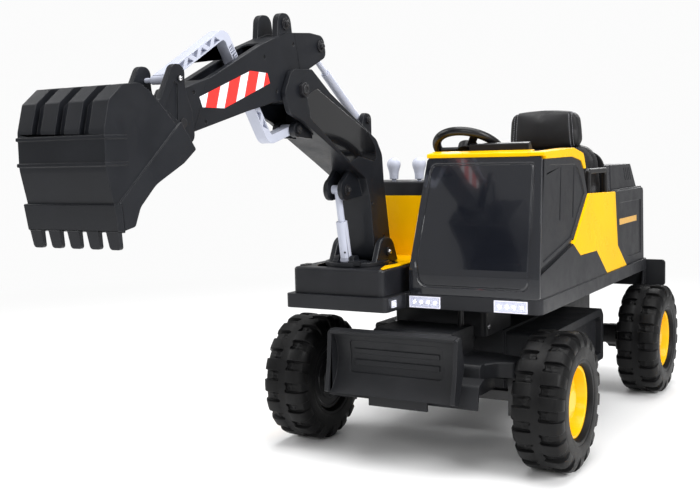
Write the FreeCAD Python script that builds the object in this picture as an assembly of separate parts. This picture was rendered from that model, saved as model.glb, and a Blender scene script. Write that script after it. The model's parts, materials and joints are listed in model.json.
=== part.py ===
"""A ride-on toy digger: four-wheeled chassis, cab, seat and a jointed digging arm.

Millimetres. Shapes are drawn in a vehicle frame: +Z up, the front faces -Y, the driver's left is +X,
with its origin on the ground midway between the axles. On export every shape moves along Y, so that the
part's origin is the centre of its footprint on the ground.
"""
import FreeCAD, Part
import math
import os

V = FreeCAD.Vector

# Wheels and axles
WHEEL_R = 135.0
TYRE_CORE_R = 126.0
RIM_R = 70.0
TYRE_HALF = 50.0
TRACK_HALF = 274.5
AXLE_Y = 358.5
AXLE_R = 8.0
AXLE_TIP = TRACK_HALF + 24.0
LUGS = 18
LUG_HALF = 11.5
RUNNING = 0.07

# Deck and house
DECK_X = 260.0
DECK_FRONT = -404.0
DECK_REAR = 412.0
SKIRT_Z = 304.0
DECK_Z = 333.0
SIDE_X = 249.0
BODY_TOP = 518.0
CAB_BAND_Z = 379.0
CAB_TOP = 603.0
CAB_TOP_Y = -369.0
CAB_RIGHT_LOW = -17.0
CAB_RIGHT_TOP = 12.0
WALL = 4.0
BUMPER_REAR = 440.0

# Boom block at the front right
BLOCK_X = (-249.0, -38.0)
BLOCK_Y = (-475.0, -300.0)
BLOCK_TOP = 387.0

# Digging arm: every pivot as (Y, Z), all in one vertical plane
ARM_X = -142.0
TURRET_Y = -392.0
TURRET_R = 66.0
TURRET_WELL_R = 84.0
BOOM_PIVOT = (-361.0, 412.0)
LIFT_BASE = (-436.0, 400.0)
LIFT_EYE = (-465.0, 545.0)
STICK_PIVOT = (-646.0, 733.0)
PUSH_BASE = (-375.0, 684.0)
PUSH_EYE = (-564.0, 818.0)
LINK_BASE = (-641.0, 662.0)
LINK_EYE = (-991.0, 735.0)
BUCKET_PIVOT = (-985.0, 668.0)
BOOM_HALF = 39.0
STICK_HALF = 28.0
BUCKET_HALF = 82.0
BUCKET_FRONT = -1204.0
GROOVE_DEPTH = 10.0
EAR_INNER = 28.5
EAR_OUTER = 38.5
PIN_R = 8.0
SMALL_PIN_R = 5.0
SCREW_WELLS = {"stick": [(-944, 717), (-916, 671), (-748, 785), (-655, 814), (-713, 728)],
               "boom": [(-394, 514), (-344, 443)]}

# Steering
STEER_X = 65.0
WHEEL_CENTRE = V(STEER_X, -280.0, 619.0)
WHEEL_TILT = 33.0
COLUMN_Y = -334.5
COLUMN_R = 6.0
KINGPIN_X = 205.0
TIE_Y = -303.5

SWITCH_PIVOT = (-307.0, 584.0)

# Levers' console
CONSOLE_Y = (-225.0, -84.0)
LEVER_X = (-157.0, -94.0)
LEVER_PIVOT = (-190.0, 530.0)

# Seat
SEAT_X = (-45.0, 232.0)
CUSHION_Z = 435.0

FRAME_SHIFT = -(BUCKET_FRONT + AXLE_Y + WHEEL_R) / 2


def box(x0, x1, y0, y1, z0, z1):
    """A box between two corners."""
    return Part.makeBox(x1 - x0, y1 - y0, z1 - z0, V(x0, y0, z0))


def rod(start, end, radius):
    """A round bar from one point to another."""
    axis = end - start
    return Part.makeCylinder(radius, axis.Length, start, axis)


def rod_x(x0, x1, at, radius):
    """A round bar along X through a (Y, Z) point."""
    return Part.makeCylinder(radius, x1 - x0, V(x0, at[0], at[1]), V(1, 0, 0))


def place(plane, a, b):
    """The 3-D point of an outline point drawn in the named plane."""
    return {"yz": V(0, a, b), "xz": V(a, 0, b), "xy": V(a, b, 0)}[plane]


def corner(before, at, after, radius):
    """Where a rounded corner starts, its middle and its end."""
    back = (before - at).normalize()
    ahead = (after - at).normalize()
    half = back.getAngle(ahead) / 2
    reach = radius / math.tan(half)
    centre = at + (back + ahead).normalize() * (radius / math.sin(half))
    middle = centre + (at - centre).normalize() * radius
    return at + back * reach, middle, at + ahead * reach


def outline(plane, points):
    """A closed wire through points (a, b) or (a, b, corner radius)."""
    spots = [place(plane, p[0], p[1]) for p in points]
    radii = [p[2] if len(p) > 2 else 0 for p in points]
    edges = []
    ends = []
    for i, spot in enumerate(spots):
        if radii[i]:
            start, middle, end = corner(spots[i - 1], spot, spots[(i + 1) % len(spots)], radii[i])
            edges.append(Part.Arc(start, middle, end).toShape())
            ends.append((start, end))
        else:
            ends.append((spot, spot))
    for i, (_, leave) in enumerate(ends):
        arrive = ends[(i + 1) % len(ends)][0]
        if (arrive - leave).Length > 1e-4:
            edges.append(Part.makeLine(leave, arrive))
    return Part.Wire(Part.__sortEdges__(edges))


def prism(plane, points, low, high):
    """An outline pushed through from low to high along the axis square to its plane."""
    axis = {"yz": V(1, 0, 0), "xz": V(0, 1, 0), "xy": V(0, 0, 1)}[plane]
    return push(outline(plane, points), axis, low, high)


def push(wire, axis, low, high):
    """A wire's face pushed from low to high along an axis."""
    solid = Part.Face(wire).extrude(axis * (high - low))
    solid.translate(axis * low)
    return solid


def inset_prism(points, inset, low, high):
    """A YZ outline drawn in by an inset, pushed from low to high along X."""
    wire = outline("yz", points).makeOffset2D(-inset)
    return push(wire, V(1, 0, 0), low, high)


def join(first, *others):
    """One solid from several that overlap or touch."""
    return first.multiFuse(list(others)).removeSplitter()


def mirrored(shape):
    """The same shape on the other side of the vehicle."""
    return shape.mirror(V(0, 0, 0), V(1, 0, 0))


def both(shape):
    """A shape and its mirror image, as two solids."""
    return Part.makeCompound([shape, mirrored(shape)])


def ribbon(points, half, radius):
    """The outline of a bent bar of constant width that follows a (Y, Z) path."""
    sides = ([], [])
    last = len(points) - 1
    for i, (y, z) in enumerate(points):
        at = V(y, z, 0)
        into = (at - V(*points[i - 1], 0)).normalize() if i else None
        out = (V(*points[i + 1], 0) - at).normalize() if i < last else None
        into = into or out
        out = out or into
        across = V(-into.y - out.y, into.x + out.x, 0).normalize()
        square = V(-into.y, into.x, 0)
        reach = half / across.dot(square)
        turn = into.x * out.y - into.y * out.x
        bend = 0 if i in (0, last) else radius
        grow = half if turn < 0 else -half
        for side, sign in zip(sides, (1, -1)):
            spot = at + across * (sign * reach)
            round_r = max(bend + sign * grow, 2.0) if bend else 0
            side.append((spot.x, spot.y, round_r))
    return sides[0] + sides[1][::-1]


def along(start, end, distance):
    """The (Y, Z) point a distance from start towards end, as a 3-D point in the arm's plane."""
    a = V(ARM_X, *start)
    b = V(ARM_X, *end)
    return a + (b - a).normalize() * distance


def arm_prism(points, half):
    """A YZ outline pushed to both sides of the arm's plane."""
    return prism("yz", points, ARM_X - half, ARM_X + half)


def arm_pair(points, inner, outer):
    """Two plates of one outline, either side of the arm's plane."""
    return [prism("yz", points, ARM_X - outer, ARM_X - inner),
            prism("yz", points, ARM_X + inner, ARM_X + outer)]


def arm_discs(at, radius, inner, outer):
    """Two round plates, either side of the arm's plane."""
    return [rod_x(ARM_X - outer, ARM_X - inner, at, radius), rod_x(ARM_X + inner, ARM_X + outer, at, radius)]


def eye(at, radius, half):
    """A round boss across the arm's plane."""
    return rod_x(ARM_X - half, ARM_X + half, at, radius)


def screw_wells(spots, half):
    """Blind round wells for screws in both side faces of an arm part."""
    return Part.makeCompound([eye(at, 3.2, half + 1).cut(eye(at, 4, half - 2.5)) for at in spots])


def export(name, shape):
    """Write one sub-part, moved to the part's own origin."""
    moved = shape.copy()
    moved.translate(V(0, FRAME_SHIFT, 0))
    moved.exportStep("parts/" + name + ".step")


# ---------------------------------------------------------------- wheels


def tyre(side, axle_y):
    """A hollow-centred tyre with flat-topped lugs in two staggered rows."""
    profile = [(-38, RIM_R), (38, RIM_R), (50, 96, 5), (50, 114, 6), (40, TYRE_CORE_R, 4),
               (-40, TYRE_CORE_R, 4), (-50, 114, 6), (-50, 96, 5)]
    core = Part.Face(outline("xz", profile)).revolve(V(0, 0, 0), V(1, 0, 0), 360)
    lug = prism("xz", [(3, 118), (3, WHEEL_R), (40, WHEEL_R, 4), (49.5, 120, 3), (49.5, 112), (8, 112)],
                -LUG_HALF, LUG_HALF)
    lugs = []
    for i in range(LUGS):
        for half_turn, copy in ((0, lug), (0.5, mirrored(lug))):
            block = copy.copy()
            block.rotate(V(0, 0, 0), V(1, 0, 0), 180 + (i + half_turn) * 360 / LUGS)
            lugs.append(block)
    shape = join(core, *lugs)
    shape.translate(V(side * TRACK_HALF, axle_y, WHEEL_R))
    return shape


def rim(side, axle_y):
    """A dished wheel centre with a raised hub cap, bored from its inner side for the axle."""
    profile = [(-38, 0), (-38, RIM_R), (38, RIM_R), (38, 64, 2), (16, 58, 3), (13, 40, 4), (27, 34, 4),
               (31, 20, 4), (31, 0)]
    shape = Part.Face(outline("xz", profile)).revolve(V(0, 0, 0), V(1, 0, 0), 360)
    hollow = Part.Face(outline("xz", [(-39, 27), (-39, 62), (8, 54), (8, 27)]))
    bore = rod_x(-39, 26, (0, 0), AXLE_R + RUNNING)
    shape = shape.cut(hollow.revolve(V(0, 0, 0), V(1, 0, 0), 360)).cut(bore)
    if side < 0:
        shape = mirrored(shape)
    shape.translate(V(side * TRACK_HALF, axle_y, WHEEL_R))
    return shape


def axle_bars():
    """The rear axle bar, and the front beam with its two forks and kingpins."""
    rear = rod_x(-AXLE_TIP, AXLE_TIP, (AXLE_Y, WHEEL_R), AXLE_R)
    beam = box(-188, 188, -AXLE_Y - 10, -AXLE_Y + 10, 125, 145)
    ends = []
    for side in (1, -1):
        x = side * KINGPIN_X
        ends.append(box(min(x - side * 25, x - side * 15), max(x - side * 25, x - side * 15),
                        -AXLE_Y - 14, -AXLE_Y + 14, 96, 174))
        for low in (96, 168):
            ends.append(box(min(x - side * 17, x + side * 11), max(x - side * 17, x + side * 11),
                            -AXLE_Y - 14, -AXLE_Y + 14, low, low + 6))
        ends.append(Part.makeCylinder(COLUMN_R, 68, V(x, -AXLE_Y, 101)))
    return Part.makeCompound([rear, join(beam, *ends)])


def knuckle():
    """The left steering knuckle: hub on the kingpin, stub axle and steering arm."""
    hub = Part.makeCylinder(14, 64, V(KINGPIN_X, -AXLE_Y, 103))
    neck = rod_x(KINGPIN_X, KINGPIN_X + 18, (-AXLE_Y, WHEEL_R), 14)
    stub = rod_x(KINGPIN_X, AXLE_TIP, (-AXLE_Y, WHEEL_R), AXLE_R)
    arm = box(KINGPIN_X - 6, KINGPIN_X + 6, -AXLE_Y, TIE_Y + 7, 140, 151)
    pin = Part.makeCylinder(4, 20, V(KINGPIN_X, TIE_Y, 145))
    bore = Part.makeCylinder(COLUMN_R + RUNNING, 70, V(KINGPIN_X, -AXLE_Y, 100))
    return join(hub, neck, stub, arm, pin).cut(bore)


def tie_rod():
    """The bar that turns both knuckles, with a slot for each pin that drives or follows it."""
    bar = box(-212, 212, TIE_Y - 6, TIE_Y + 6, 153, 161)
    pads = [box(x - 11, x + 11, TIE_Y - 20, TIE_Y + 11, 153, 161) for x in (-KINGPIN_X, STEER_X, KINGPIN_X)]
    slots = [box(x - 5.2, x + 5.2, TIE_Y - 15, TIE_Y + 6, 150, 165) for x in (-KINGPIN_X, STEER_X, KINGPIN_X)]
    shape = join(bar, *pads)
    return shape.cut(Part.makeCompound(slots))


# ---------------------------------------------------------------- chassis


def chassis_frame():
    """The moulded undercarriage: centre box, side steps with pockets, rear axle plates and rear pillar."""
    centre = box(-110, 110, -215, 300, 104, 235)
    nose = box(-45, 45, -317, -215, 209.5, 235)
    pillar = box(-80, 80, 200, 300, 235, 327)
    side = prism("yz", [(-205, 104, 8), (205, 104, 8), (205, 214, 14), (188, 230, 10), (-205, 230, 8)],
                 110, 205)
    pocket = prism("yz", [(-186, 122, 8), (186, 122, 8), (186, 200, 12), (172, 212, 8), (-186, 212, 8)],
                   190, 206)
    step = side.cut(pocket)
    plate = prism("yz", [(300, 104), (AXLE_Y + 26, 104, 10), (410, 150, 10), (410, 235, 6), (300, 235)],
                  96, 110)
    parts = [nose, pillar, step, mirrored(step), plate, mirrored(plate)]
    bore = rod_x(-112, 112, (AXLE_Y, WHEEL_R), AXLE_R + 0.02)
    inside = box(-104, 104, -205, 290, 112, 227)
    return join(centre, *parts).cut(bore).cut(inside)


def pedestal():
    """The tower that carries the house on the chassis."""
    shape = box(-105, 105, -300, -150, 235, 327)
    shape = shape.makeFillet(12, [e for e in shape.Edges if abs(e.Vertexes[0].Z - e.Vertexes[-1].Z) > 80])
    return shape.cut(box(-97, 97, -292, -158, 243, 328))


def front_axle_cover():
    """The cover over the front axle, with a raised hump that carries the steering column's bearing."""
    cover = prism("yz", [(-450, 150, 3), (-450, 209, 10), (-318, 209), (-318, 150)], -154, 154)
    cover = cover.cut(box(-149, 149, -445, -317, 149, 204))
    cover = cover.cut(box(-155, 155, -375, -317, 149, 180))
    hump = prism("yz", [(-436, 205), (-436, 262, 14), (-318, 262), (-318, 205)], -86, 86)
    hump = hump.cut(box(-80, 80, -430, -317, 204, 256))
    shape = join(cover, hump)
    shape = shape.cut(box(-80, 80, -430, -317, 200, 256))
    shape = shape.cut(Part.makeCylinder(COLUMN_R + RUNNING, 20, V(STEER_X, COLUMN_Y, 250)))
    tongue = join(box(-60, 60, -496, -450, 150, 158), box(-64, 64, -497, -491, 120, 158))
    deflector = prism("yz", [(-449, 184), (-476, 174, 10), (-484, 130), (-479, 129), (-471, 168, 8),
                             (-449, 177)], -162, 162)
    wing = prism("xy", [(150, -436), (172, -404, 14), (204, -396, 8), (206, -340, 8), (150, -322)], 178, 209)
    wing = wing.makeFillet(4, [e for e in wing.Edges if e.BoundBox.ZMin > 208 and e.BoundBox.XMax > 151])
    wing = wing.cut(prism("xy", [(149, -428), (170, -400, 10), (199, -391, 4), (201, -345, 4), (149, -328)],
                          177, 204))
    return join(shape, tongue, deflector, wing, mirrored(wing))


def before_blade(depth):
    """Everything in front of the blade's face once the face is moved back by a depth."""
    face = Part.Arc(V(0, -513 + depth, 266), V(0, -498 + depth, 212), V(0, -531 + depth, 148)).toShape()
    corners = [V(0, -531 + depth, 148), V(0, -560, 148), V(0, -560, 266), V(0, -513 + depth, 266)]
    edges = [Part.makeLine(a, b) for a, b in zip(corners, corners[1:])]
    return push(Part.Wire(Part.__sortEdges__([face] + edges)), V(1, 0, 0), -130, 130)


def dozer_blade():
    """A curved blade with end flanges and a recess in its face that holds two raised ribs."""
    face = Part.Arc(V(0, -513, 266), V(0, -498, 212), V(0, -531, 148)).toShape()
    back = Part.Arc(V(0, -523, 146), V(0, -489, 212), V(0, -505, 270)).toShape()
    ends = [Part.makeLine(V(0, -531, 148), V(0, -523, 146)), Part.makeLine(V(0, -505, 270), V(0, -513, 266))]
    plate = push(Part.Wire([face, ends[0], back, ends[1]]), V(1, 0, 0), -134, 134)
    flange = prism("yz", [(-521, 267, 4), (-527, 206), (-540, 150, 4), (-520, 145), (-490, 210),
                          (-504, 273, 4)], 131, 140)
    lip = prism("yz", [(-519, 262), (-524, 269, 2), (-504, 274, 2), (-504, 264)], -134, 134)
    frame = prism("xz", [(-101, 186, 9), (101, 186, 9), (101, 250, 9), (-101, 250, 9)], -560, -480)
    recess = frame.common(before_blade(3.5))
    raised = before_blade(3.6).cut(before_blade(0.8))
    ribs = [raised.common(box(-92, 92, -560, -480, z - 5, z + 5)) for z in (206, 228)]
    shape = join(plate, lip, flange, mirrored(flange))
    return join(shape.cut(recess), *ribs)


def rear_bumper():
    """The flat rear plate, its corner gussets and the two arms that hold it."""
    plate = prism("xz", [(-300, 258, 9), (300, 258, 9), (300, 326, 9), (-300, 326, 9)], 432, BUMPER_REAR)
    arm = box(58, 80, 300, 432, 262, 300)
    gusset = prism("yz", [(432, 320), (432, 262), (414, 262)], 244, 250)
    return join(plate, arm, mirrored(arm), gusset, mirrored(gusset))


def drive_motors():
    """Two gearcases on the rear axle, each with its motor."""
    case = join(rod_x(178, 214, (AXLE_Y, WHEEL_R), 30), rod_x(178, 214, (302, 150), 24),
                prism("yz", [(302, 128), (AXLE_Y, 106), (AXLE_Y, 164), (302, 173)], 178, 214))
    motor = join(rod_x(120, 179, (302, 150), 18), rod_x(114, 121, (302, 150), 7))
    shape = join(case, motor).cut(rod_x(170, 220, (AXLE_Y, WHEEL_R), AXLE_R + 0.02))
    return both(shape)


# ---------------------------------------------------------------- house


def deck_skirt():
    """The deck: floor, the skirt round its edge and the lower side walls."""
    plan = [(-DECK_X, -487, 10), (-25, -487, 10), (-25, DECK_FRONT), (DECK_X, DECK_FRONT, 14),
            (DECK_X, DECK_REAR, 14), (-DECK_X, DECK_REAR, 14)]
    skirt = prism("xy", plan, SKIRT_Z, DECK_Z)
    inner = [(-254, -481, 6), (-31, -481, 6), (-31, -398), (254, -398, 8), (254, 406, 8), (-254, 406, 8)]
    skirt = skirt.cut(prism("xy", inner, SKIRT_Z - 1, DECK_Z - 6))
    shared = [(-200, 420), (-197, 422), (-146, 393), (-29, 392), (53, DECK_Z)]
    edge = DECK_FRONT + 6.5
    left = prism("yz", [(edge, DECK_Z), (edge, CAB_BAND_Z)] + shared, SIDE_X, SIDE_X + 8)
    right = mirrored(prism("yz", [(-299, DECK_Z), (-299, 390)] + shared, SIDE_X, SIDE_X + 8))
    lugs = [box(x, x + 6, -256, -244, DECK_Z - 1, 348) for x in (142, 207)]
    pivot = rod_x(147, 208, (-250, 342), 2.5)
    shape = join(skirt, left, right, pivot, *lugs)
    return shape.cut(Part.makeCylinder(COLUMN_R + 3, 20, V(STEER_X, COLUMN_Y, 320)))


def boom_block_cover():
    """The box that carries the arm, with a bearing well for the turret's spindle."""
    cover = box(BLOCK_X[0], BLOCK_X[1], BLOCK_Y[0], BLOCK_Y[1], DECK_Z, BLOCK_TOP)
    tall = [e for e in cover.Edges if e.BoundBox.ZLength > 50 and e.BoundBox.YMax < -400]
    cover = cover.makeFillet(12, tall)
    rim_edges = [e for e in cover.Edges if e.BoundBox.ZMin > BLOCK_TOP - 0.1 and e.BoundBox.YMin < -301]
    rim_edges = [e for e in rim_edges if e.BoundBox.YMax < -300.5 or e.BoundBox.XLength < 0.1]
    cover = cover.makeFillet(6, rim_edges)
    inside = box(BLOCK_X[0] + WALL, BLOCK_X[1] - WALL, BLOCK_Y[0] + WALL, BLOCK_Y[1] - WALL, DECK_Z - 1,
                 BLOCK_TOP - 5)
    well = Part.makeCylinder(30, BLOCK_TOP - DECK_Z - 2, V(ARM_X, TURRET_Y, DECK_Z))
    bore = Part.makeCylinder(20 + RUNNING, 60, V(ARM_X, TURRET_Y, DECK_Z + 5))
    bump = box(BLOCK_X[0] + 4, BLOCK_X[0] + 16, -452, -424, BLOCK_TOP - 1, BLOCK_TOP + 2.5)
    gap = Part.makeCylinder(TURRET_WELL_R - 1, 8, V(ARM_X, TURRET_Y, BLOCK_TOP - 6))
    gap = gap.cut(Part.makeCylinder(TURRET_R - 3, 8, V(ARM_X, TURRET_Y, BLOCK_TOP - 6)))
    gap = gap.common(box(BLOCK_X[0], ARM_X - 20, -450, -310, BLOCK_TOP - 6, BLOCK_TOP + 2))
    return join(cover.cut(inside), well, bump).cut(bore).cut(gap)


def yellow_tub():
    """The inner moulding: ledge beside the turret, console body and the shelf beside the seat."""
    beside = [(-46, -468), (-40, -468), (-40, -225), (-140, -225), (-140, -320), (-70, -400)]
    ledge = join(prism("xy", beside, BLOCK_TOP, BLOCK_TOP + 3), box(-246, -40, -299, -225, BLOCK_TOP, 390))
    ledge = ledge.cut(Part.makeCylinder(TURRET_WELL_R, 10, V(ARM_X, TURRET_Y, 380)))
    front, rear = CONSOLE_Y
    console = box(-246, -24, front, rear, DECK_Z, 522)
    console = console.cut(box(-242, -28, front + WALL, rear - WALL, DECK_Z - 1, 523))
    shelf = box(-246, -52, rear, 118, DECK_Z, 515).cut(box(-242, -56, rear + WALL, 114, DECK_Z - 1, 511))
    return join(ledge, console, shelf)


def console_top():
    """The console's dark cap, with a slot and a pivot rod for the two levers."""
    front, rear = CONSOLE_Y
    cap = box(-246, -24, front, rear, 522, 553)
    cap = cap.makeFillet(5, [e for e in cap.Edges if e.BoundBox.ZMin > 552])
    cap = cap.cut(box(-240, -30, front + 6, rear - 6, 521, 549))
    slots = [box(x - 9, x + 9, -208, -172, 540, 560) for x in LEVER_X]
    cap = cap.cut(Part.makeCompound(slots))
    return join(cap, rod_x(-242, -28, LEVER_PIVOT, 3))


def lever(x):
    """A control lever with a pear-shaped knob on a hub that turns on the pivot rod."""
    stem = Part.makeCylinder(5, 45, V(x, LEVER_PIVOT[0], LEVER_PIVOT[1]))
    knob = [(0, 558), (9, 558, 2), (10, 568, 20), (15.5, 591, 11), (11, 604, 8), (0, 605)]
    head = Part.Face(outline("xz", knob)).revolve(V(0, 0, 0), V(0, 0, 1), 360)
    head.translate(V(x, LEVER_PIVOT[0], 0))
    hub = rod_x(x - 7, x + 7, LEVER_PIVOT, 7)
    return join(stem, head, hub).cut(rod_x(x - 8, x + 8, LEVER_PIVOT, 3 + RUNNING))


def lamp_lenses():
    """Two headlamp lenses on the front skirt and one small lamp beside the block."""
    wide = [box(x, x + 67, DECK_FRONT - 2.5, DECK_FRONT, 306, 329) for x in (-15, 166)]
    lenses = [w.makeFillet(1.2, [e for e in w.Edges if e.BoundBox.YMax < DECK_FRONT - 2]) for w in wide]
    small = box(-25, -23, -466, -450, 312, 326)
    return Part.makeCompound(lenses + [small])


def cab_front_panel():
    """The glossy front panel: upright at its foot, then leaning back, with an inner frame line."""
    face = [(CAB_RIGHT_LOW, DECK_Z, 4), (257, DECK_Z, 4), (257, CAB_BAND_Z, 60), (252, CAB_TOP, 8),
            (CAB_RIGHT_TOP, CAB_TOP, 8), (CAB_RIGHT_LOW, CAB_BAND_Z, 60)]

    def slab(front, back):
        return prism("yz", [(DECK_FRONT + front, DECK_Z), (DECK_FRONT + front, CAB_BAND_Z, 90),
                            (CAB_TOP_Y + front, CAB_TOP), (CAB_TOP_Y + back, CAB_TOP),
                            (DECK_FRONT + back, CAB_BAND_Z, 90), (DECK_FRONT + back, DECK_Z)], -40, 280)

    shape = prism("xz", face, -420, -340).common(slab(0, 6))
    outer = [(4, 348, 22), (236, 348, 16), (238, 592, 8), (22, 592, 12), (-4, 400, 40)]
    inner = [(8, 352, 19), (232, 352, 13), (234, 588, 6), (25, 588, 9), (0, 401, 38)]
    ring = prism("xz", outer, -420, -340).cut(prism("xz", inner, -420, -340))
    return shape.cut(ring.common(slab(-1, 1.5)))


def cab_left_panel():
    """The dark cab side: an arched recess with two tapered grooves, and a slanting groove along its foot."""
    edge = [(DECK_FRONT + 6.5, 380.5), (CAB_TOP_Y + 7, 598), (-200, 600, 30), (-140, 591, 12), (-122, 574),
            (-92, 520), (-197, 422), (-200, 420)]
    arch = [(-378, 402), (-351, 586, 26), (-168, 584, 40), (-140, 560, 20), (-112, 521), (-199, 438)]
    panel = prism("yz", edge, SIDE_X, SIDE_X + 6).cut(prism("yz", arch, SIDE_X + 3.5, SIDE_X + 7))
    grooves = [prism("yz", [(top - 1.5, 580), (top + 1.5, 580), (top - 5, 474, 3), (top - 13, 474, 3)],
                     SIDE_X + 1, SIDE_X + 4) for top in (-262, -178)]
    foot = prism("yz", [(-400, 381), (-190, 424), (-190, 433), (-400, 390)], SIDE_X + 2, SIDE_X + 7)
    return panel.cut(Part.makeCompound(grooves)).cut(foot)


def cab_right_panel():
    """The cab's inner side wall, which leans with the front panel's edge."""
    across = [(CAB_RIGHT_LOW, DECK_Z), (CAB_RIGHT_LOW, CAB_BAND_Z), (CAB_RIGHT_TOP, CAB_TOP),
              (CAB_RIGHT_TOP + 6, CAB_TOP), (CAB_RIGHT_LOW + 6, CAB_BAND_Z), (CAB_RIGHT_LOW + 6, DECK_Z)]
    side = [(DECK_FRONT + 6.5, DECK_Z), (DECK_FRONT + 6.5, CAB_BAND_Z), (CAB_TOP_Y + 6.5, CAB_TOP),
            (-300, CAB_TOP, 20), (-258, 560, 20), (-225, 500, 10), (-225, DECK_Z)]
    return prism("xz", across, -420, -200).common(prism("yz", side, -40, 40))


def cab_cowl():
    """The yellow band over the cab: a front strip and a left strip that turns down at its rear."""
    front = [(CAB_TOP_Y - 3, CAB_TOP), (CAB_TOP_Y - 3, 611, 3), (-338, 616, 3), (-334, CAB_TOP)]
    strip = prism("yz", front, CAB_RIGHT_TOP, 226)
    left = [(CAB_TOP_Y - 3, 603.5), (CAB_TOP_Y - 3, 611, 3), (-190, 618, 60), (-124, 606, 18), (-108, 574),
            (-122, 574), (-140, 591, 12), (-200, 600, 30), (CAB_TOP_Y + 7, 598), (CAB_TOP_Y + 7, 603.5)]
    band = prism("yz", left, 225, SIDE_X + 8)
    return join(strip, band)


def flank_panel():
    """The yellow panel on the left flank, with a bevelled front edge."""
    shape = prism("yz", [(-92, 520), (120, 515), (142, 389), (223, DECK_Z), (53, DECK_Z), (-29, 392),
                         (-146, 393), (-197, 422)], SIDE_X, SIDE_X + 8)
    front = [e for e in shape.Edges if e.BoundBox.XMin > SIDE_X + 7 and e.BoundBox.YMax < -91]
    longest = max(front, key=lambda e: e.Length)
    return shape.makeChamfer(6, [longest])


def rear_body():
    """The rear housing shell with a recessed panel on each side."""
    shell = box(-SIDE_X, SIDE_X, 123, 400, DECK_Z, BODY_TOP)
    corners = [e for e in shell.Edges if e.BoundBox.YMin > 399 and e.BoundBox.ZLength > 100]
    shell = shell.makeFillet(10, corners)
    shell = shell.cut(box(-SIDE_X + WALL, SIDE_X - WALL, 127, 396, DECK_Z - 1, BODY_TOP - WALL))
    edge = [(124, BODY_TOP - 3), (388, BODY_TOP - 3, 12), (396, DECK_Z), (224.5, DECK_Z), (143.5, 389.5)]
    skin = prism("yz", edge, SIDE_X, SIDE_X + 6)
    recess = prism("yz", [(160, 486, 4), (366, 486, 4), (370, 352, 4), (240, 352), (168, 400)],
                   SIDE_X + 3.5, 260)
    skin = skin.cut(recess)
    return join(shell, skin, mirrored(skin))


def engine_hood():
    """The raised hood on the rear body: tapered sides, vents on both flanks and a louvred top."""
    low = outline("xy", [(-236, 152, 8), (236, 152, 8), (236, 396, 8), (-236, 396, 8)])
    high = outline("xy", [(-226, 182, 8), (226, 182, 8), (226, 378, 8), (-226, 378, 8)])
    low.translate(V(0, 0, BODY_TOP))
    high.translate(V(0, 0, 575))
    shape = Part.makeLoft([low, high], True)
    shape = shape.cut(box(-220, 220, 186, 372, BODY_TOP - 1, 570))
    vents = [box(222, 240, y, y + 5, 535, 566) for y in (300, 316, 332, 348)]
    louvres = [box(-150, 150, y, y + 6, 572.5, 576) for y in range(215, 350, 16)]
    cuts = vents + [mirrored(v) for v in vents] + louvres
    return shape.cut(Part.makeCompound(cuts))


def armrests():
    """Two hoop handles beside the seat, the left one on the seat shell and the right one on the shelf."""
    def hoop(x, base):
        ring = prism("yz", [(-56, base), (-52, 572, 9), (88, 572, 9), (92, base)], x - 6, x + 6)
        hole = prism("yz", [(-42, base - 1), (-39, 560, 4), (75, 560, 4), (78, base - 1)], x - 7, x + 7)
        return ring.cut(hole)
    return Part.makeCompound([hoop(242, 512), hoop(-60, 515)])


def seat_shell():
    """The seat's plastic base, back and left shoulder."""
    low, high = SEAT_X
    base = box(low, high, -75, 121, DECK_Z, CUSHION_Z - 1)
    base = base.cut(box(low + WALL, high - WALL, -71, 117, DECK_Z - 1, CUSHION_Z - 5))
    back = prism("xz", [(low, 430), (high, 430), (high, 612, 46), (low, 612, 46)], 114, 121)
    wing = box(high - 1, 248, -75, 121, 500, 512)
    rib = box(high - 1, 248, 60, 66, DECK_Z, 500)
    post = box(high - 4, high, -75, 121, 430, 512)
    return join(base, back, wing, rib, post)


def seat_cushion():
    """The seat pad."""
    return prism("xy", [(-42, -82, 24), (228, -82, 24), (228, 65, 12), (-42, 65, 12)], CUSHION_Z, 465)


def backrest():
    """The upholstered back, with round shoulders."""
    return prism("xz", [(-43, 467, 14), (225, 467, 14), (231, 570), (229, 614, 46), (176, 624), (18, 624),
                        (-44, 614, 46), (-44, 570)], 68, 112)


def headrest():
    """The upholstered headrest on top of the back."""
    return prism("xz", [(14, 624.5, 8), (190, 624.5, 8), (182, 705, 24), (22, 705, 24)], 64, 112)


def battery():
    """The drive battery under the seat."""
    case = box(20, 171, -30, 68, DECK_Z, 422)
    posts = [Part.makeCylinder(4, 5, V(x, 40, 421)) for x in (40, 151)]
    return join(case, *posts)


def body_screws():
    """Visible screw heads: two on the front hump and two on the tower."""
    front = [Part.makeCylinder(4.5, 2.4, V(x, -436, 240), V(0, -1, 0)) for x in (-30, 30)]
    tower = [rod_x(105, 107.5, (-285, 255), 4.5), rod_x(-107.5, -105, (-285, 255), 4.5)]
    return Part.makeCompound(front + tower)


# ---------------------------------------------------------------- driver's controls


def tilt_with_wheel(shape):
    """Turn a shape drawn on the Z axis to the steering wheel's axis and put it in place."""
    moved = shape.copy()
    moved.rotate(V(0, 0, 0), V(1, 0, 0), -WHEEL_TILT)
    moved.translate(WHEEL_CENTRE)
    return moved


def steering_wheel():
    """Rim, hub and three spokes, with a well for the horn button."""
    ring = Part.makeTorus(68, 9)
    hub = Part.makeCylinder(24, 16, V(0, 0, -8))
    spokes = []
    for angle in (90, 210, 330):
        spoke = box(18, 64, -8, 8, -5, 2)
        spoke.rotate(V(0, 0, 0), V(0, 0, 1), angle + 90)
        spokes.append(spoke)
    well = Part.makeCylinder(15, 9, V(0, 0, 1))
    return tilt_with_wheel(join(ring, hub, *spokes).cut(well))


def horn_button():
    """The push button in the middle of the steering wheel."""
    cap = Part.makeCylinder(14, 6, V(0, 0, 4))
    return tilt_with_wheel(cap.makeFillet(2, [e for e in cap.Edges if e.BoundBox.ZMin > 9]))


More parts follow.
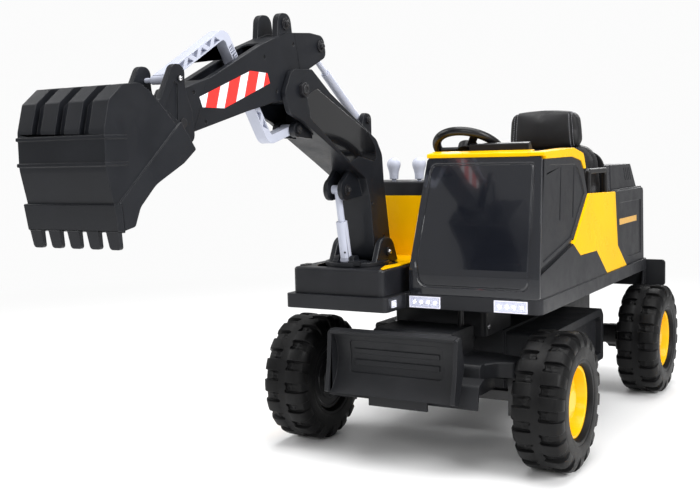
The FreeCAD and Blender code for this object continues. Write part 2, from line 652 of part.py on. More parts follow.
def steering_shaft():
    """The inclined shaft under the steering wheel."""
    return tilt_with_wheel(Part.makeCylinder(AXLE_R, 80, V(0, 0, -88)))


def steering_column():
    """The upright column down to the axle, with the crank and pin that move the tie rod."""
    post = Part.makeCylinder(COLUMN_R, 372, V(STEER_X, COLUMN_Y, 163))
    crank = box(STEER_X - 6, STEER_X + 6, COLUMN_Y - 7, TIE_Y + 6, 163, 173)
    pin = Part.makeCylinder(4, 14, V(STEER_X, TIE_Y, 151))
    return join(post, crank, pin)


def dash_box():
    """The dash behind the front strip, which carries the steering shaft's bearing and the drive switch."""
    tall = prism("yz", [(-334, 560), (-334, 629, 3), (-322, 631.5, 3), (-310, 615, 3), (-310, 560)], 88, 212)
    low = prism("yz", [(-342, 548), (-342, 598, 4), (-300, 598, 4), (-300, 548)], 24, 212)
    shape = join(tall, low)
    pocket = box(138, 162, -314, -299, 572, 596)
    bore = tilt_with_wheel(Part.makeCylinder(AXLE_R + RUNNING, 140, V(0, 0, -140)))
    inside = box(104, 208, -330, -318, 552, 610)
    return join(shape.cut(pocket).cut(bore).cut(inside), rod_x(137, 163, SWITCH_PIVOT, 2))


def direction_switch():
    """The forward and reverse rocker, on a hub that turns on the pocket's pivot rod."""
    rocker = prism("yz", [(-309, 576, 2), (-309, 592, 2), (-296, 594, 2), (-298, 584), (-296, 574, 2)],
                   140, 160)
    return join(rocker, rod_x(140, 160, SWITCH_PIVOT, 5)).cut(rod_x(139, 161, SWITCH_PIVOT, 2 + RUNNING))


def foot_pedal():
    """The drive pedal on its pivot rod."""
    plate = prism("yz", [(-246, 340, 3), (-328, 376, 3), (-331, 369, 3), (-250, 334, 3)], 150, 205)
    hub = rod_x(150, 205, (-250, 342), 6)
    return join(plate, hub).cut(rod_x(140, 215, (-250, 342), 2.5 + RUNNING))


# ---------------------------------------------------------------- digging arm

BOOM_OUTLINE = [(-383, 390.8, 21), (-345, 390.8, 30), (-316, 430, 20), (-340, 560, 60), (-345, 613, 30),
                (-368, 644, 30), (-549, 732, 60), (-612, 772, 10), (-679, 768, 22), (-704, 725, 14),
                (-688, 690, 12), (-645, 676, 20), (-493, 603, 60), (-418, 566, 12), (-402, 532, 20)]
INLAY_OUTLINE = [(-632, 722, 4), (-597, 738, 6), (-404, 659, 10), (-375, 631, 8), (-371, 606, 3),
                 (-381, 600, 3), (-442, 610, 6), (-478, 600, 4), (-620, 681, 10)]
STICK_OUTLINE = [(-1001, 668, 15.5), (-990, 690, 20), (-969, 722, 6), (-903, 741, 60), (-756, 806, 60),
                 (-677, 833, 30), (-597, 840, 20), (-550, 838, 18), (-542, 800, 14), (-616, 768, 20),
                 (-622, 708, 22), (-699, 713, 30), (-797, 692, 60), (-947, 655, 10), (-985, 650, 14)]
LINK_PATH = [LINK_EYE, (-836, 820), (-712, 643), LINK_BASE]
BUCKET_OUTLINE = [(-1178, 517), (-1190, 556, 80), (-1202, 604, 60), (-1202, 655, 20), (-1191, 694, 5),
                  (-1163, 716, 6), (-1128, 720, 30), (-1101, 704, 40), (-1014, 627, 3), (-1043, 607, 20),
                  (-1106, 578, 60), (-1140, 548, 20), (-1152, 522, 6)]


def boom_turret():
    """The swinging base: disc, spindle, two domed cheeks and the lift cylinder's bracket."""
    disc = Part.makeCylinder(TURRET_R, 8.5, V(ARM_X, TURRET_Y, BLOCK_TOP + 0.5))
    spindle = Part.makeCylinder(20, 44, V(ARM_X, TURRET_Y, BLOCK_TOP - 42))
    dome = [(-416, 391), (-390, 442, 30), (-340, 442, 30), (-316, 391)]
    cheeks = [c.makeFillet(4, [e for e in c.Edges if e.BoundBox.ZMax > 392 and e.BoundBox.XLength < 0.1])
              for c in arm_pair(dome, BOOM_HALF + 5, BOOM_HALF + 18)]
    lug = [(-450, 395), (-446, 410, 8), (-426, 410, 8), (-422, 395)]
    lugs = arm_pair(lug, 12.5, 23)
    shelf = box(ARM_X - 24, ARM_X + 39, -453, -420, 390, 400)
    pin = eye(LIFT_BASE, SMALL_PIN_R, 20)
    shape = join(disc, spindle, *cheeks, *lugs, shelf)
    shape = shape.cut(eye(BOOM_PIVOT, PIN_R + RUNNING, 70))
    shape = shape.cut(box(ARM_X - 42, ARM_X + 42, -392, -322, 388.5, 397))
    shape = shape.cut(box(ARM_X - 12.5, ARM_X + 12.5, -454, -418, 388.8, 402))
    return join(shape, pin)


def boom_shell():
    """The hollow boom: fork, lift cylinder's clevis, and ears for the push cylinder and the link."""
    shape = arm_prism(BOOM_OUTLINE, BOOM_HALF)
    room = inset_prism(BOOM_OUTLINE, WALL, ARM_X - BOOM_HALF + WALL, ARM_X + BOOM_HALF - WALL)
    room = room.common(box(-300, 0, -590, -300, 380, 800))
    clevis = [(LIFT_EYE[0] - 8, LIFT_EYE[1] + 20), (-440, 592), (-400, 585), (-400, 530),
              (LIFT_EYE[0] + 4, LIFT_EYE[1] - 21.5)]
    push_ear = [(-358, 634), (-358, 696, 13), (-388, 700, 13), (-402, 655)]
    link_ear = [(LINK_BASE[0], LINK_BASE[1] + 14), (-596, 672), (-592, 645),
                (LINK_BASE[0] + 4, LINK_BASE[1] - 13.4)]
    ears = arm_pair(clevis, 12, 21) + arm_pair(push_ear, 12, 22) + arm_pair(link_ear, 12.5, 24)
    ears += arm_discs(LIFT_EYE, 22, 12, 21) + arm_discs(LINK_BASE, 14, 12.5, 24)
    shape = shape.cut(box(ARM_X - STICK_HALF - 1.5, ARM_X + STICK_HALF + 1.5, -720, -598, 640, 790))
    shape = shape.cut(room)
    shape = join(shape, eye(BOOM_PIVOT, 15, BOOM_HALF - 1), *ears)
    bores = ((BOOM_PIVOT, PIN_R), (STICK_PIVOT, PIN_R), (PUSH_BASE, SMALL_PIN_R), (LINK_BASE, SMALL_PIN_R))
    for at, radius in bores:
        shape = shape.cut(eye(at, radius + 0.02, 60))
    shape = shape.cut(screw_wells(SCREW_WELLS["boom"], BOOM_HALF))
    return shape.cut(Part.makeCompound(arm_pair(INLAY_OUTLINE, BOOM_HALF - 1.5, BOOM_HALF + 1)))


def boom_inlays():
    """A glossy inlay in each side of the boom."""
    return Part.makeCompound(arm_pair(INLAY_OUTLINE, BOOM_HALF - 1.5, BOOM_HALF))


def hex_nut(x, at, across, thick):
    """A hexagonal nut whose flat side starts at x."""
    corners = [(at[0] + across / math.sqrt(3) * math.cos(math.radians(60 * i + 30)),
                at[1] + across / math.sqrt(3) * math.sin(math.radians(60 * i + 30))) for i in range(6)]
    return prism("yz", corners, x, x + thick)


def bolted(at, radius, half, head, thick):
    """A pin across the arm with a hexagonal head at each end."""
    ends = [hex_nut(ARM_X + half, at, head, thick), hex_nut(ARM_X - half - thick, at, head, thick)]
    return join(eye(at, radius, half + thick), *ends)


def stub_heads(at, radius, face):
    """A round washer with a hexagonal head on each outer face of a pair of ears."""
    heads = []
    for x, nut_x in ((ARM_X + face, ARM_X + face + 3), (ARM_X - face - 3, ARM_X - face - 7)):
        heads.append(join(rod_x(x, x + 3, at, radius), hex_nut(nut_x, at, radius, 4)))
    return heads


def boom_pins():
    """The boom's pivot pin, the stick's pivot bolt and the bolts of its ears and clevis."""
    base = join(eye(BOOM_PIVOT, PIN_R, BOOM_HALF + 19), *[rod_x(x, x + 3, BOOM_PIVOT, 10)
                for x in (ARM_X + BOOM_HALF + 18.3, ARM_X - BOOM_HALF - 21.3)])
    pins = [base, bolted(STICK_PIVOT, PIN_R, BOOM_HALF, 24, 7), bolted(PUSH_BASE, SMALL_PIN_R, 22, 14, 4),
            bolted(LINK_BASE, SMALL_PIN_R, 24, 14, 4)]
    return Part.makeCompound(pins + stub_heads(LIFT_EYE, 11, 21))


def barrel(base, toward, radius, bore, length, half):
    """A cylinder barrel: eye at its base, hollow from its far end."""
    tube = rod(along(base, toward, 6), along(base, toward, length), radius)
    shape = join(tube, eye(base, 9.5, half))
    shape = shape.cut(rod(along(base, toward, 13), along(base, toward, length + 1), bore))
    return shape.cut(eye(base, SMALL_PIN_R + RUNNING, half + 1))


def piston(base, toward, radius, start, half):
    """A cylinder rod with a cross boss at its far end."""
    return join(rod(along(base, toward, start), V(ARM_X, *toward), radius), eye(toward, 9, half))


def stick_shell():
    """The hollow stick, slotted for the link, forked at its rear, with a double ear on top."""
    shape = arm_prism(STICK_OUTLINE, STICK_HALF)
    room = inset_prism(STICK_OUTLINE, WALL, ARM_X - STICK_HALF + WALL, ARM_X + STICK_HALF - WALL)
    room = room.common(box(-300, 0, -955, -678, 600, 900))
    ear = [(-706, 815), (-700, 866, 18), (-662, 868, 18), (-656, 830)]
    ears = arm_pair(ear, 15, STICK_HALF - 1)
    shape = join(shape.cut(room), *ears)
    top_slot = box(ARM_X - 15, ARM_X + 15, -912, -742, 735, 815)
    low_slot = box(ARM_X - 15, ARM_X + 15, -800, -676, 660, 730)
    fork = prism("yz", [(-600, 740), (-600, 812), (-580, 832), (-520, 832), (-520, 740)],
                 ARM_X - 13.5, ARM_X + 13.5)
    seam = Part.makeCompound(arm_pair([(-652.6, 840), (-651.4, 840), (-636, 768), (-637.2, 768)],
                                      STICK_HALF - 0.8, STICK_HALF + 1))
    shape = shape.cut(top_slot).cut(low_slot).cut(fork).cut(seam)
    shape = shape.cut(screw_wells(SCREW_WELLS["stick"], STICK_HALF))
    for at, radius in ((STICK_PIVOT, PIN_R), (BUCKET_PIVOT, COLUMN_R)):
        shape = shape.cut(eye(at, radius + RUNNING, 60))
    return shape


def stick_pins():
    """Bolt heads at the stick's rear eye and at its top ears."""
    heads = stub_heads(PUSH_EYE, 11, STICK_HALF) + stub_heads((-680, 848), 11, STICK_HALF - 1)
    return Part.makeCompound(heads)


def truss_pockets(start, end, first, last, count):
    """Triangular pockets in both faces of a straight stretch of the link."""
    a = V(*start, 0)
    b = V(*end, 0)
    ahead = (b - a).normalize()
    across = V(-ahead.y, ahead.x, 0)
    pitch = (last - first) / count
    cuts = []
    for i in range(count):
        sign = 1 if i % 2 else -1
        spots = [a + ahead * (first + pitch * i) + across * (5.5 * sign),
                 a + ahead * (first + pitch * (i + 1)) + across * (5.5 * sign),
                 a + ahead * (first + pitch * (i + 0.5)) - across * (4.5 * sign)]
        cuts += arm_pair([(s.x, s.y) for s in spots], 3, 12)
    return cuts


def waffle_pockets(start, end, first, last, rows):
    """Three columns of small square pockets in both faces of a straight stretch of the link."""
    a = V(*start, 0)
    ahead = (V(*end, 0) - a).normalize()
    across = V(-ahead.y, ahead.x, 0)
    pitch = (last - first) / rows
    cuts = []
    for i in range(rows):
        for column in (-4, 0, 4):
            middle = a + ahead * (first + pitch * (i + 0.5)) + across * column
            ends = ((-1, -1), (1, -1), (1, 1), (-1, 1))
            spots = [middle + ahead * (1.7 * u) + across * (1.4 * v) for u, v in ends]
            cuts += arm_pair([(s.x, s.y) for s in spots], 6, 12)
    return cuts


def bucket_link():
    """The bent link from the boom to the bucket, ribbed like a truss, with a wide boss at the bucket."""
    shape = arm_prism(ribbon(LINK_PATH, 8, 16), 11)
    bend = LINK_PATH[1]
    foot = LINK_PATH[2]
    cuts = truss_pockets(LINK_EYE, bend, 18, 158, 7) + waffle_pockets(bend, foot, 24, 144, 24)
    cuts += truss_pockets(bend, foot, 150, 196, 2)
    shape = shape.cut(Part.makeCompound(cuts))
    shape = join(shape, eye(LINK_EYE, 7, 14), eye(LINK_EYE, 4, EAR_INNER - 0.5), eye(LINK_BASE, 10, 11))
    return shape.cut(eye(LINK_BASE, SMALL_PIN_R + RUNNING, 20))


def bucket():
    """The hollow bucket: deeply grooved back, two ribs, side cutters, a toothed lip and two ears."""
    half = BUCKET_HALF
    hull = arm_prism(BUCKET_OUTLINE, half)
    skin = hull.cut(inset_prism(BUCKET_OUTLINE, GROOVE_DEPTH, ARM_X - 2 * half, ARM_X + 2 * half))
    skin = skin.common(box(-400, 100, -1300, -1112, 648, 800))
    grooves = [skin.common(box(x - 8.7, x + 8.7, -1300, 0, 0, 1000)) for x in (ARM_X - 45, ARM_X, ARM_X + 45)]
    ribs = [box(ARM_X - half - 2, ARM_X + half + 2, BUCKET_FRONT, -1160, z - 2.5, z + 2.5)
            for z in (609, 645)]
    cutter = [(-1188, 550), (-1047, 667), (-1014, 627, 3), (-1043, 607, 20), (-1106, 578, 60),
              (-1140, 548, 20), (-1152, 522, 6), (-1178, 517)]
    lip = prism("yz", [(-1194, 555, 2), (-1187, 518), (-1174, 515), (-1178, 555)],
                ARM_X - half - 4, ARM_X + half + 4)
    teeth = []
    for i in range(5):
        x = ARM_X - half - 2 + i * (2 * half - 19) / 4
        face = prism("xz", [(x, 524), (x + 2, 492, 5), (x + 21, 492, 5), (x + 23, 524)], -1200, -1160)
        slab = prism("yz", [(-1188, 525), (-1181, 490), (-1174, 490), (-1179, 525)], -300, 0)
        teeth.append(face.common(slab))
    ear = [(-1082, 686), (-1036, 703), (-1005, 757, 15), (-977, 756, 14), (-979, 719, 60), (-963, 690, 40),
           (-957, 640, 14), (-975, 636, 10), (-1030, 630)]
    hollow = [(-1003, 731, 2), (-995, 726, 2), (-997, 670, 2), (-1027, 690, 2)]
    mouth = [(-1166, 500), (-1179, 556, 60), (-1190, 604, 50), (-1186, 652, 30), (-1174, 686, 12),
             (-1155, 701, 12), (-1128, 704, 22), (-1106, 692, 30), (-1024, 621), (-1000, 560), (-1060, 500)]
    ears = [e.cut(Part.makeCompound(arm_pair(hollow, EAR_OUTER - 3, EAR_OUTER + 1)))
            for e in arm_pair(ear, EAR_INNER, EAR_OUTER)]
    sides = arm_pair(cutter, half - 2, half + 3) + ears
    shape = join(hull.cut(Part.makeCompound(grooves)), lip, *ribs, *sides, *teeth)
    shape = shape.cut(arm_prism(mouth, half - 5))
    return shape.cut(eye(BUCKET_PIVOT, COLUMN_R + 0.02, 60))


def bucket_pins():
    """The bucket's pivot pin and the screw heads at its link ears."""
    pin = bolted(BUCKET_PIVOT, COLUMN_R, EAR_OUTER, 14, 1.5)
    screws = [rod_x(ARM_X + EAR_OUTER, ARM_X + EAR_OUTER + 2, LINK_EYE, 5),
              rod_x(ARM_X - EAR_OUTER - 2, ARM_X - EAR_OUTER, LINK_EYE, 5)]
    return Part.makeCompound([pin] + screws)


def sub_parts():
    """Every sub-part by its node's name."""
    left_knuckle = knuckle()
    left_flank = flank_panel()
    shapes = {"chassis_frame": chassis_frame(), "front_axle_cover": front_axle_cover(),
              "pedestal": pedestal(), "dozer_blade": dozer_blade(), "rear_bumper": rear_bumper(),
              "drive_motors": drive_motors(), "axle_bars": axle_bars(), "knuckle_left": left_knuckle,
              "knuckle_right": mirrored(left_knuckle), "tie_rod": tie_rod(), "deck_skirt": deck_skirt(),
              "boom_block_cover": boom_block_cover(), "yellow_tub": yellow_tub(),
              "console_top": console_top(), "lamp_lenses": lamp_lenses(),
              "cab_front_panel": cab_front_panel(), "cab_left_panel": cab_left_panel(),
              "cab_right_panel": cab_right_panel(), "cab_cowl": cab_cowl(), "left_flank_panel": left_flank,
              "right_flank_panel": mirrored(left_flank), "rear_body": rear_body(),
              "engine_hood": engine_hood(), "armrests": armrests(), "seat_shell": seat_shell(),
              "seat_cushion": seat_cushion(), "backrest": backrest(), "headrest": headrest(),
              "battery": battery(), "body_screws": body_screws(), "steering_wheel": steering_wheel(),
              "horn_button": horn_button(), "steering_shaft": steering_shaft(),
              "steering_column": steering_column(), "dash_box": dash_box(),
              "direction_switch": direction_switch(), "foot_pedal": foot_pedal(),
              "lever_outer": lever(LEVER_X[0]), "lever_inner": lever(LEVER_X[1]),
              "boom_turret": boom_turret(), "boom_shell": boom_shell(), "boom_inlays": boom_inlays(),
              "boom_pins": boom_pins(), "lift_barrel": barrel(LIFT_BASE, LIFT_EYE, 11.5, 7.1, 82, 10),
              "lift_rod": piston(LIFT_BASE, LIFT_EYE, 7, 48, 11), "stick_shell": stick_shell(),
              "stick_pins": stick_pins(), "push_barrel": barrel(PUSH_BASE, PUSH_EYE, 9, 5.6, 155, 10),
              "push_rod": piston(PUSH_BASE, PUSH_EYE, 5.5, 75, 11), "bucket": bucket(),
              "bucket_pins": bucket_pins(), "bucket_link": bucket_link()}
    for end, y in (("front", -AXLE_Y), ("rear", AXLE_Y)):
        for name, side in (("left", 1), ("right", -1)):
            shapes["tyre_" + end + "_" + name] = tyre(side, y)
            shapes["rim_" + end + "_" + name] = rim(side, y)
    return shapes


os.makedirs("parts", exist_ok=True)
for node, solid in sub_parts().items():
    export(node, solid)
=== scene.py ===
"""Looks for the ride on digger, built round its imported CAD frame. Metres, in the part's own frame."""

import json
import math

import bmesh
import bpy
from mathutils import Matrix, Vector
from mathutils.bvhtree import BVHTree


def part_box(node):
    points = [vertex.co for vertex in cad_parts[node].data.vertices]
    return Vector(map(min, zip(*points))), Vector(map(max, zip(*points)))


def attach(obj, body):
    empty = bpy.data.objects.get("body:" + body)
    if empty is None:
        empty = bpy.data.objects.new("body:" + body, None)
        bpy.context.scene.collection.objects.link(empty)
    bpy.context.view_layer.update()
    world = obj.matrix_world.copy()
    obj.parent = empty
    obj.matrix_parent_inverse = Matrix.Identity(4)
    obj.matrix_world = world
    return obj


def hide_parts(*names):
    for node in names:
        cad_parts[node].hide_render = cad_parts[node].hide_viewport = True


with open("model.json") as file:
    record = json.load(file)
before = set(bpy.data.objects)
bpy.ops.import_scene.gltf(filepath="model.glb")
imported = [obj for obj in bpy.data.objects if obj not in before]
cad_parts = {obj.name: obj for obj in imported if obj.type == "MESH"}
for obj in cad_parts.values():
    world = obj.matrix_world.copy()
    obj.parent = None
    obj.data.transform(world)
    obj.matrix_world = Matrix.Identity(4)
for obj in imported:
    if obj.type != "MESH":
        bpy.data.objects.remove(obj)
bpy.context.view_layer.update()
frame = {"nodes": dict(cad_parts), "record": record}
NODES = frame["nodes"]
MM = 0.001


# ---------------------------------------------------------------- materials


class Tree:
    """A short way to write a node material."""

    def __init__(self, name):
        self.mat = bpy.data.materials.new(name)
        self.mat.use_nodes = True
        self.tree = self.mat.node_tree
        self.tree.nodes.clear()
        self.out = self.add("ShaderNodeOutputMaterial")
        self.bsdf = self.add("ShaderNodeBsdfPrincipled")
        self.link(self.bsdf.outputs[0], self.out.inputs[0])
        self.coords = self.add("ShaderNodeTexCoord").outputs["Object"]

    def add(self, kind, **values):
        node = self.tree.nodes.new(kind)
        for key, value in values.items():
            setattr(node, key, value)
        return node

    def link(self, a, b):
        self.tree.links.new(a, b)

    def put(self, socket, value):
        if hasattr(value, "links"):
            self.link(value, socket)
        else:
            socket.default_value = value

    def noise(self, scale, detail=2.0, rough=0.5, stretch=None):
        node = self.add("ShaderNodeTexNoise")
        node.inputs["Scale"].default_value = scale
        node.inputs["Detail"].default_value = detail
        node.inputs["Roughness"].default_value = rough
        self.link(self.stretched(stretch), node.inputs["Vector"])
        return node.outputs["Fac"]

    def cells(self, scale, feature="F1", stretch=None):
        node = self.add("ShaderNodeTexVoronoi", feature=feature)
        node.inputs["Scale"].default_value = scale
        self.link(self.stretched(stretch), node.inputs["Vector"])
        return node.outputs["Distance"]

    def stretched(self, stretch):
        if stretch is None:
            return self.coords
        node = self.add("ShaderNodeMapping")
        node.inputs["Scale"].default_value = stretch
        self.link(self.coords, node.inputs["Vector"])
        return node.outputs[0]

    def ramp(self, value, low, high, to_low=0.0, to_high=1.0):
        node = self.add("ShaderNodeMapRange", interpolation_type="SMOOTHSTEP")
        self.put(node.inputs["Value"], value)
        for socket, number in zip(("From Min", "From Max", "To Min", "To Max"), (low, high, to_low, to_high)):
            node.inputs[socket].default_value = number
        return node.outputs["Result"]

    def math(self, kind, a, b=0.5):
        node = self.add("ShaderNodeMath", operation=kind)
        self.put(node.inputs[0], a)
        self.put(node.inputs[1], b)
        return node.outputs[0]

    def mix(self, fac, a, b, blend="MIX"):
        node = self.add("ShaderNodeMix", data_type="RGBA", blend_type=blend)
        self.put(node.inputs["Factor"], fac)
        for socket, value in (("A", a), ("B", b)):
            found = [s for s in node.inputs if s.name == socket and s.type == "RGBA"][0]
            self.put(found, value if hasattr(value, "links") else (*value, 1.0))
        return [s for s in node.outputs if s.type == "RGBA"][0]

    def rounded(self, radius):
        node = self.add("ShaderNodeBevel", samples=4)
        node.inputs["Radius"].default_value = radius
        return node.outputs[0]

    def edge(self, radius):
        """About 1 on outer edges and corners, 0 on flat faces."""
        geometry = self.add("ShaderNodeNewGeometry")
        dot = self.add("ShaderNodeVectorMath", operation="DOT_PRODUCT")
        self.link(self.rounded(radius), dot.inputs[0])
        self.link(geometry.outputs["Normal"], dot.inputs[1])
        return self.ramp(dot.outputs["Value"], 0.99, 0.80)

    def bump(self, height, distance, strength=1.0, normal=None):
        node = self.add("ShaderNodeBump")
        node.inputs["Strength"].default_value = strength
        node.inputs["Distance"].default_value = distance
        self.link(height, node.inputs["Height"])
        if normal is not None:
            self.link(normal, node.inputs["Normal"])
        return node.outputs[0]

    def set(self, **values):
        for key, value in values.items():
            self.put(self.bsdf.inputs[key.replace("_", " ")], value)


def linear(r, g, b):
    """Display colour 0-255 to linear light."""
    return tuple(((c / 255 + 0.055) / 1.055) ** 2.4 if c > 10 else c / 255 / 12.92 for c in (r, g, b))


def shade(colour, k):
    return tuple(min(1.0, c * k) for c in colour)


def moulded(name, colour, rough=0.42, grain=0.5, edge_amount=0.5, mottle=0.12, coat=0.0, edge_tone=None, edge_r=1.4 * MM):
    """Injection-moulded plastic: flow mottling, pebbled grain, handling haze and lighter rubbed edges."""
    t = Tree(name)
    cloud = t.noise(9.0, 4.0, 0.6)
    streak = t.noise(30.0, 3.0, 0.55, stretch=(1, 1, 0.25))
    base = t.mix(t.ramp(cloud, 0.3, 0.7), shade(colour, 1 - mottle), shade(colour, 1 + mottle))
    base = t.mix(t.ramp(streak, 0.45, 0.75, 0, 0.35), base, shade(colour, 1 + 2 * mottle))
    edge_patches = t.ramp(t.noise(140.0, 3.0, 0.7), 0.35, 0.65)
    rim = t.math("MULTIPLY", t.edge(edge_r), t.math("MULTIPLY", edge_patches, edge_amount))
    base = t.mix(rim, base, edge_tone or tuple(min(1.0, c * 1.5 + 0.03) for c in colour))
    pebble = t.cells(1150.0, "SMOOTH_F1")
    fine = t.noise(2300.0, 2.0)
    height = t.math("ADD", t.math("MULTIPLY", pebble, 0.7), t.math("MULTIPLY", fine, 0.3))
    normal = t.bump(height, 0.16 * MM, grain, t.rounded(edge_r))
    normal = t.bump(t.noise(55.0, 2.0), 0.5 * MM, 0.12, normal)
    haze = t.ramp(t.noise(18.0, 5.0, 0.65), 0.3, 0.75, rough - 0.07, rough + 0.1)
    t.set(Base_Color=base, Roughness=haze, Normal=normal, Specular_IOR_Level=0.3)
    if coat:
        t.set(Coat_Weight=coat, Coat_Roughness=0.06)
    return t.mat


def gloss(name, colour, rough=0.16, edge_amount=0.35, mottle=0.04, edge_tone=None, orange=0.10, coat=0.5, shine=0.5,
          glow=0.0):
    """Glossy coloured plastic: faint flow lines, orange-peel surface and paler edges (rubbed wear; on the
    darkest glosses partly a painted highlight); glow adds painted light as a faint emission.
    """
    t = Tree(name)
    cloud = t.noise(7.0, 3.0, 0.55)
    base = t.mix(t.ramp(cloud, 0.3, 0.7), shade(colour, 1 - mottle), shade(colour, 1 + mottle))
    # Paler edges: rubbed wear, and on the dark windscreen and inlay glosses partly a painted highlight along
    # the edges.
    edge_patches = t.ramp(t.noise(170.0, 3.0, 0.7), 0.35, 0.65)
    rim = t.math("MULTIPLY", t.edge(1.6 * MM), t.math("MULTIPLY", edge_patches, edge_amount))
    base = t.mix(rim, base, edge_tone or tuple(min(1.0, c * 1.25 + 0.02) for c in colour))
    normal = t.bump(t.noise(260.0, 2.0), 0.25 * MM, orange, t.rounded(1.4 * MM))
    hairline = t.ramp(t.noise(700.0, 2.0, 0.6, stretch=(1, 1, 0.05)), 0.62, 0.72, 0, 0.05)
    haze = t.math("ADD", t.ramp(t.noise(14.0, 4.0, 0.6), 0.3, 0.75, rough - 0.04, rough + 0.07), hairline)
    t.set(Base_Color=base, Roughness=haze, Normal=normal, Coat_Weight=coat, Coat_Roughness=0.04,
          Specular_IOR_Level=shine, Emission_Color=(*colour, 1), Emission_Strength=glow)
    return t.mat


def leather(name, colour):
    """Grained vinyl: cracked-pebble grain, soft creases, sheen."""
    t = Tree(name)
    cells = t.cells(520.0, "DISTANCE_TO_EDGE")
    fine = t.cells(1500.0, "DISTANCE_TO_EDGE")
    cracks = t.math("ADD", t.ramp(cells, 0.0, 0.16), t.math("MULTIPLY", t.ramp(fine, 0.0, 0.2), 0.35))
    folds = t.noise(24.0, 4.0, 0.55, stretch=(1, 0.6, 1.6))
    base = t.mix(t.ramp(folds, 0.3, 0.7), shade(colour, 0.82), shade(colour, 1.2))
    base = t.mix(t.ramp(cells, 0.0, 0.08), shade(colour, 0.6), base)
    normal = t.bump(cracks, 0.22 * MM, 0.5)
    normal = t.bump(folds, 1.6 * MM, 0.35, normal)
    t.set(Base_Color=base, Roughness=t.ramp(folds, 0.25, 0.75, 0.36, 0.52), Normal=normal,
          Sheen_Weight=0.05, Sheen_Roughness=0.4, Specular_IOR_Level=0.35)
    return t.mat


def rubber(name, colour):
    """Tyre compound: dusty brown-black, with a fine scuffed grain."""
    t = Tree(name)
    dust = t.noise(16.0, 5.0, 0.7)
    base = t.mix(t.ramp(dust, 0.35, 0.7), shade(colour, 0.8), shade(colour, 1.3))
    specks = t.ramp(t.noise(420.0, 2.0, 0.6), 0.6, 0.75, 0, 0.4)
    base = t.mix(specks, base, tuple(c * 1.5 + 0.004 for c in colour))
    rim = t.math("MULTIPLY", t.edge(2.0 * MM), t.ramp(t.noise(90.0, 3.0), 0.35, 0.65, 0.1, 0.7))
    base = t.mix(rim, base, tuple(c * 1.8 + 0.008 for c in colour))
    height = t.math("ADD", t.noise(900.0, 3.0, 0.65), t.math("MULTIPLY", t.cells(300.0), 0.3))
    normal = t.bump(height, 0.3 * MM, 0.4, t.rounded(1.8 * MM))
    t.set(Base_Color=base, Roughness=t.ramp(dust, 0.3, 0.8, 0.42, 0.62), Normal=normal,
          Specular_IOR_Level=0.2)
    return t.mat


def steel(name, colour, rough=0.28):
    """Zinc-plated or drawn steel with turning marks."""
    t = Tree(name)
    marks = t.noise(900.0, 2.0, 0.6, stretch=(1, 0.08, 1))
    base = t.mix(t.ramp(t.noise(60.0, 3.0), 0.3, 0.7), shade(colour, 0.82), colour)
    t.set(Base_Color=base, Metallic=1.0, Roughness=t.ramp(marks, 0.3, 0.7, rough - 0.08, rough + 0.12),
          Normal=t.bump(marks, 0.05 * MM, 0.4, t.rounded(0.5 * MM)))
    return t.mat


def clear_lens(name):
    """Clear ribbed lens plastic."""
    t = Tree(name)
    t.set(Base_Color=(0.94, 0.96, 1.0, 1), Roughness=t.ramp(t.noise(40.0), 0.3, 0.7, 0.03, 0.09),
          Transmission_Weight=0.92, IOR=1.45, Normal=t.bump(t.noise(500.0), 0.1 * MM, 0.15))
    return t.mat


def print_film(name, colour):
    """Printed vinyl film: slightly uneven ink on a satin film."""
    t = Tree(name)
    ink = t.noise(120.0, 3.0, 0.6)
    t.set(Base_Color=t.mix(t.ramp(ink, 0.3, 0.7), shade(colour, 0.93), shade(colour, 1.05)),
          Roughness=t.ramp(ink, 0.3, 0.7, 0.3, 0.42), Normal=t.bump(t.noise(800.0), 0.05 * MM, 0.3),
          Coat_Weight=0.2, Coat_Roughness=0.15)
    return t.mat


def glow(name, colour, strength):
    """A lit diode: bright in the middle, dimmer at its rim."""
    t = Tree(name)
    facing = t.add("ShaderNodeLayerWeight")
    facing.inputs["Blend"].default_value = 0.4
    power = t.ramp(facing.outputs["Facing"], 0.0, 1.0, strength, strength * 0.4)
    t.set(Base_Color=(*colour, 1), Emission_Color=(*colour, 1), Emission_Strength=power, Roughness=0.3)
    return t.mat


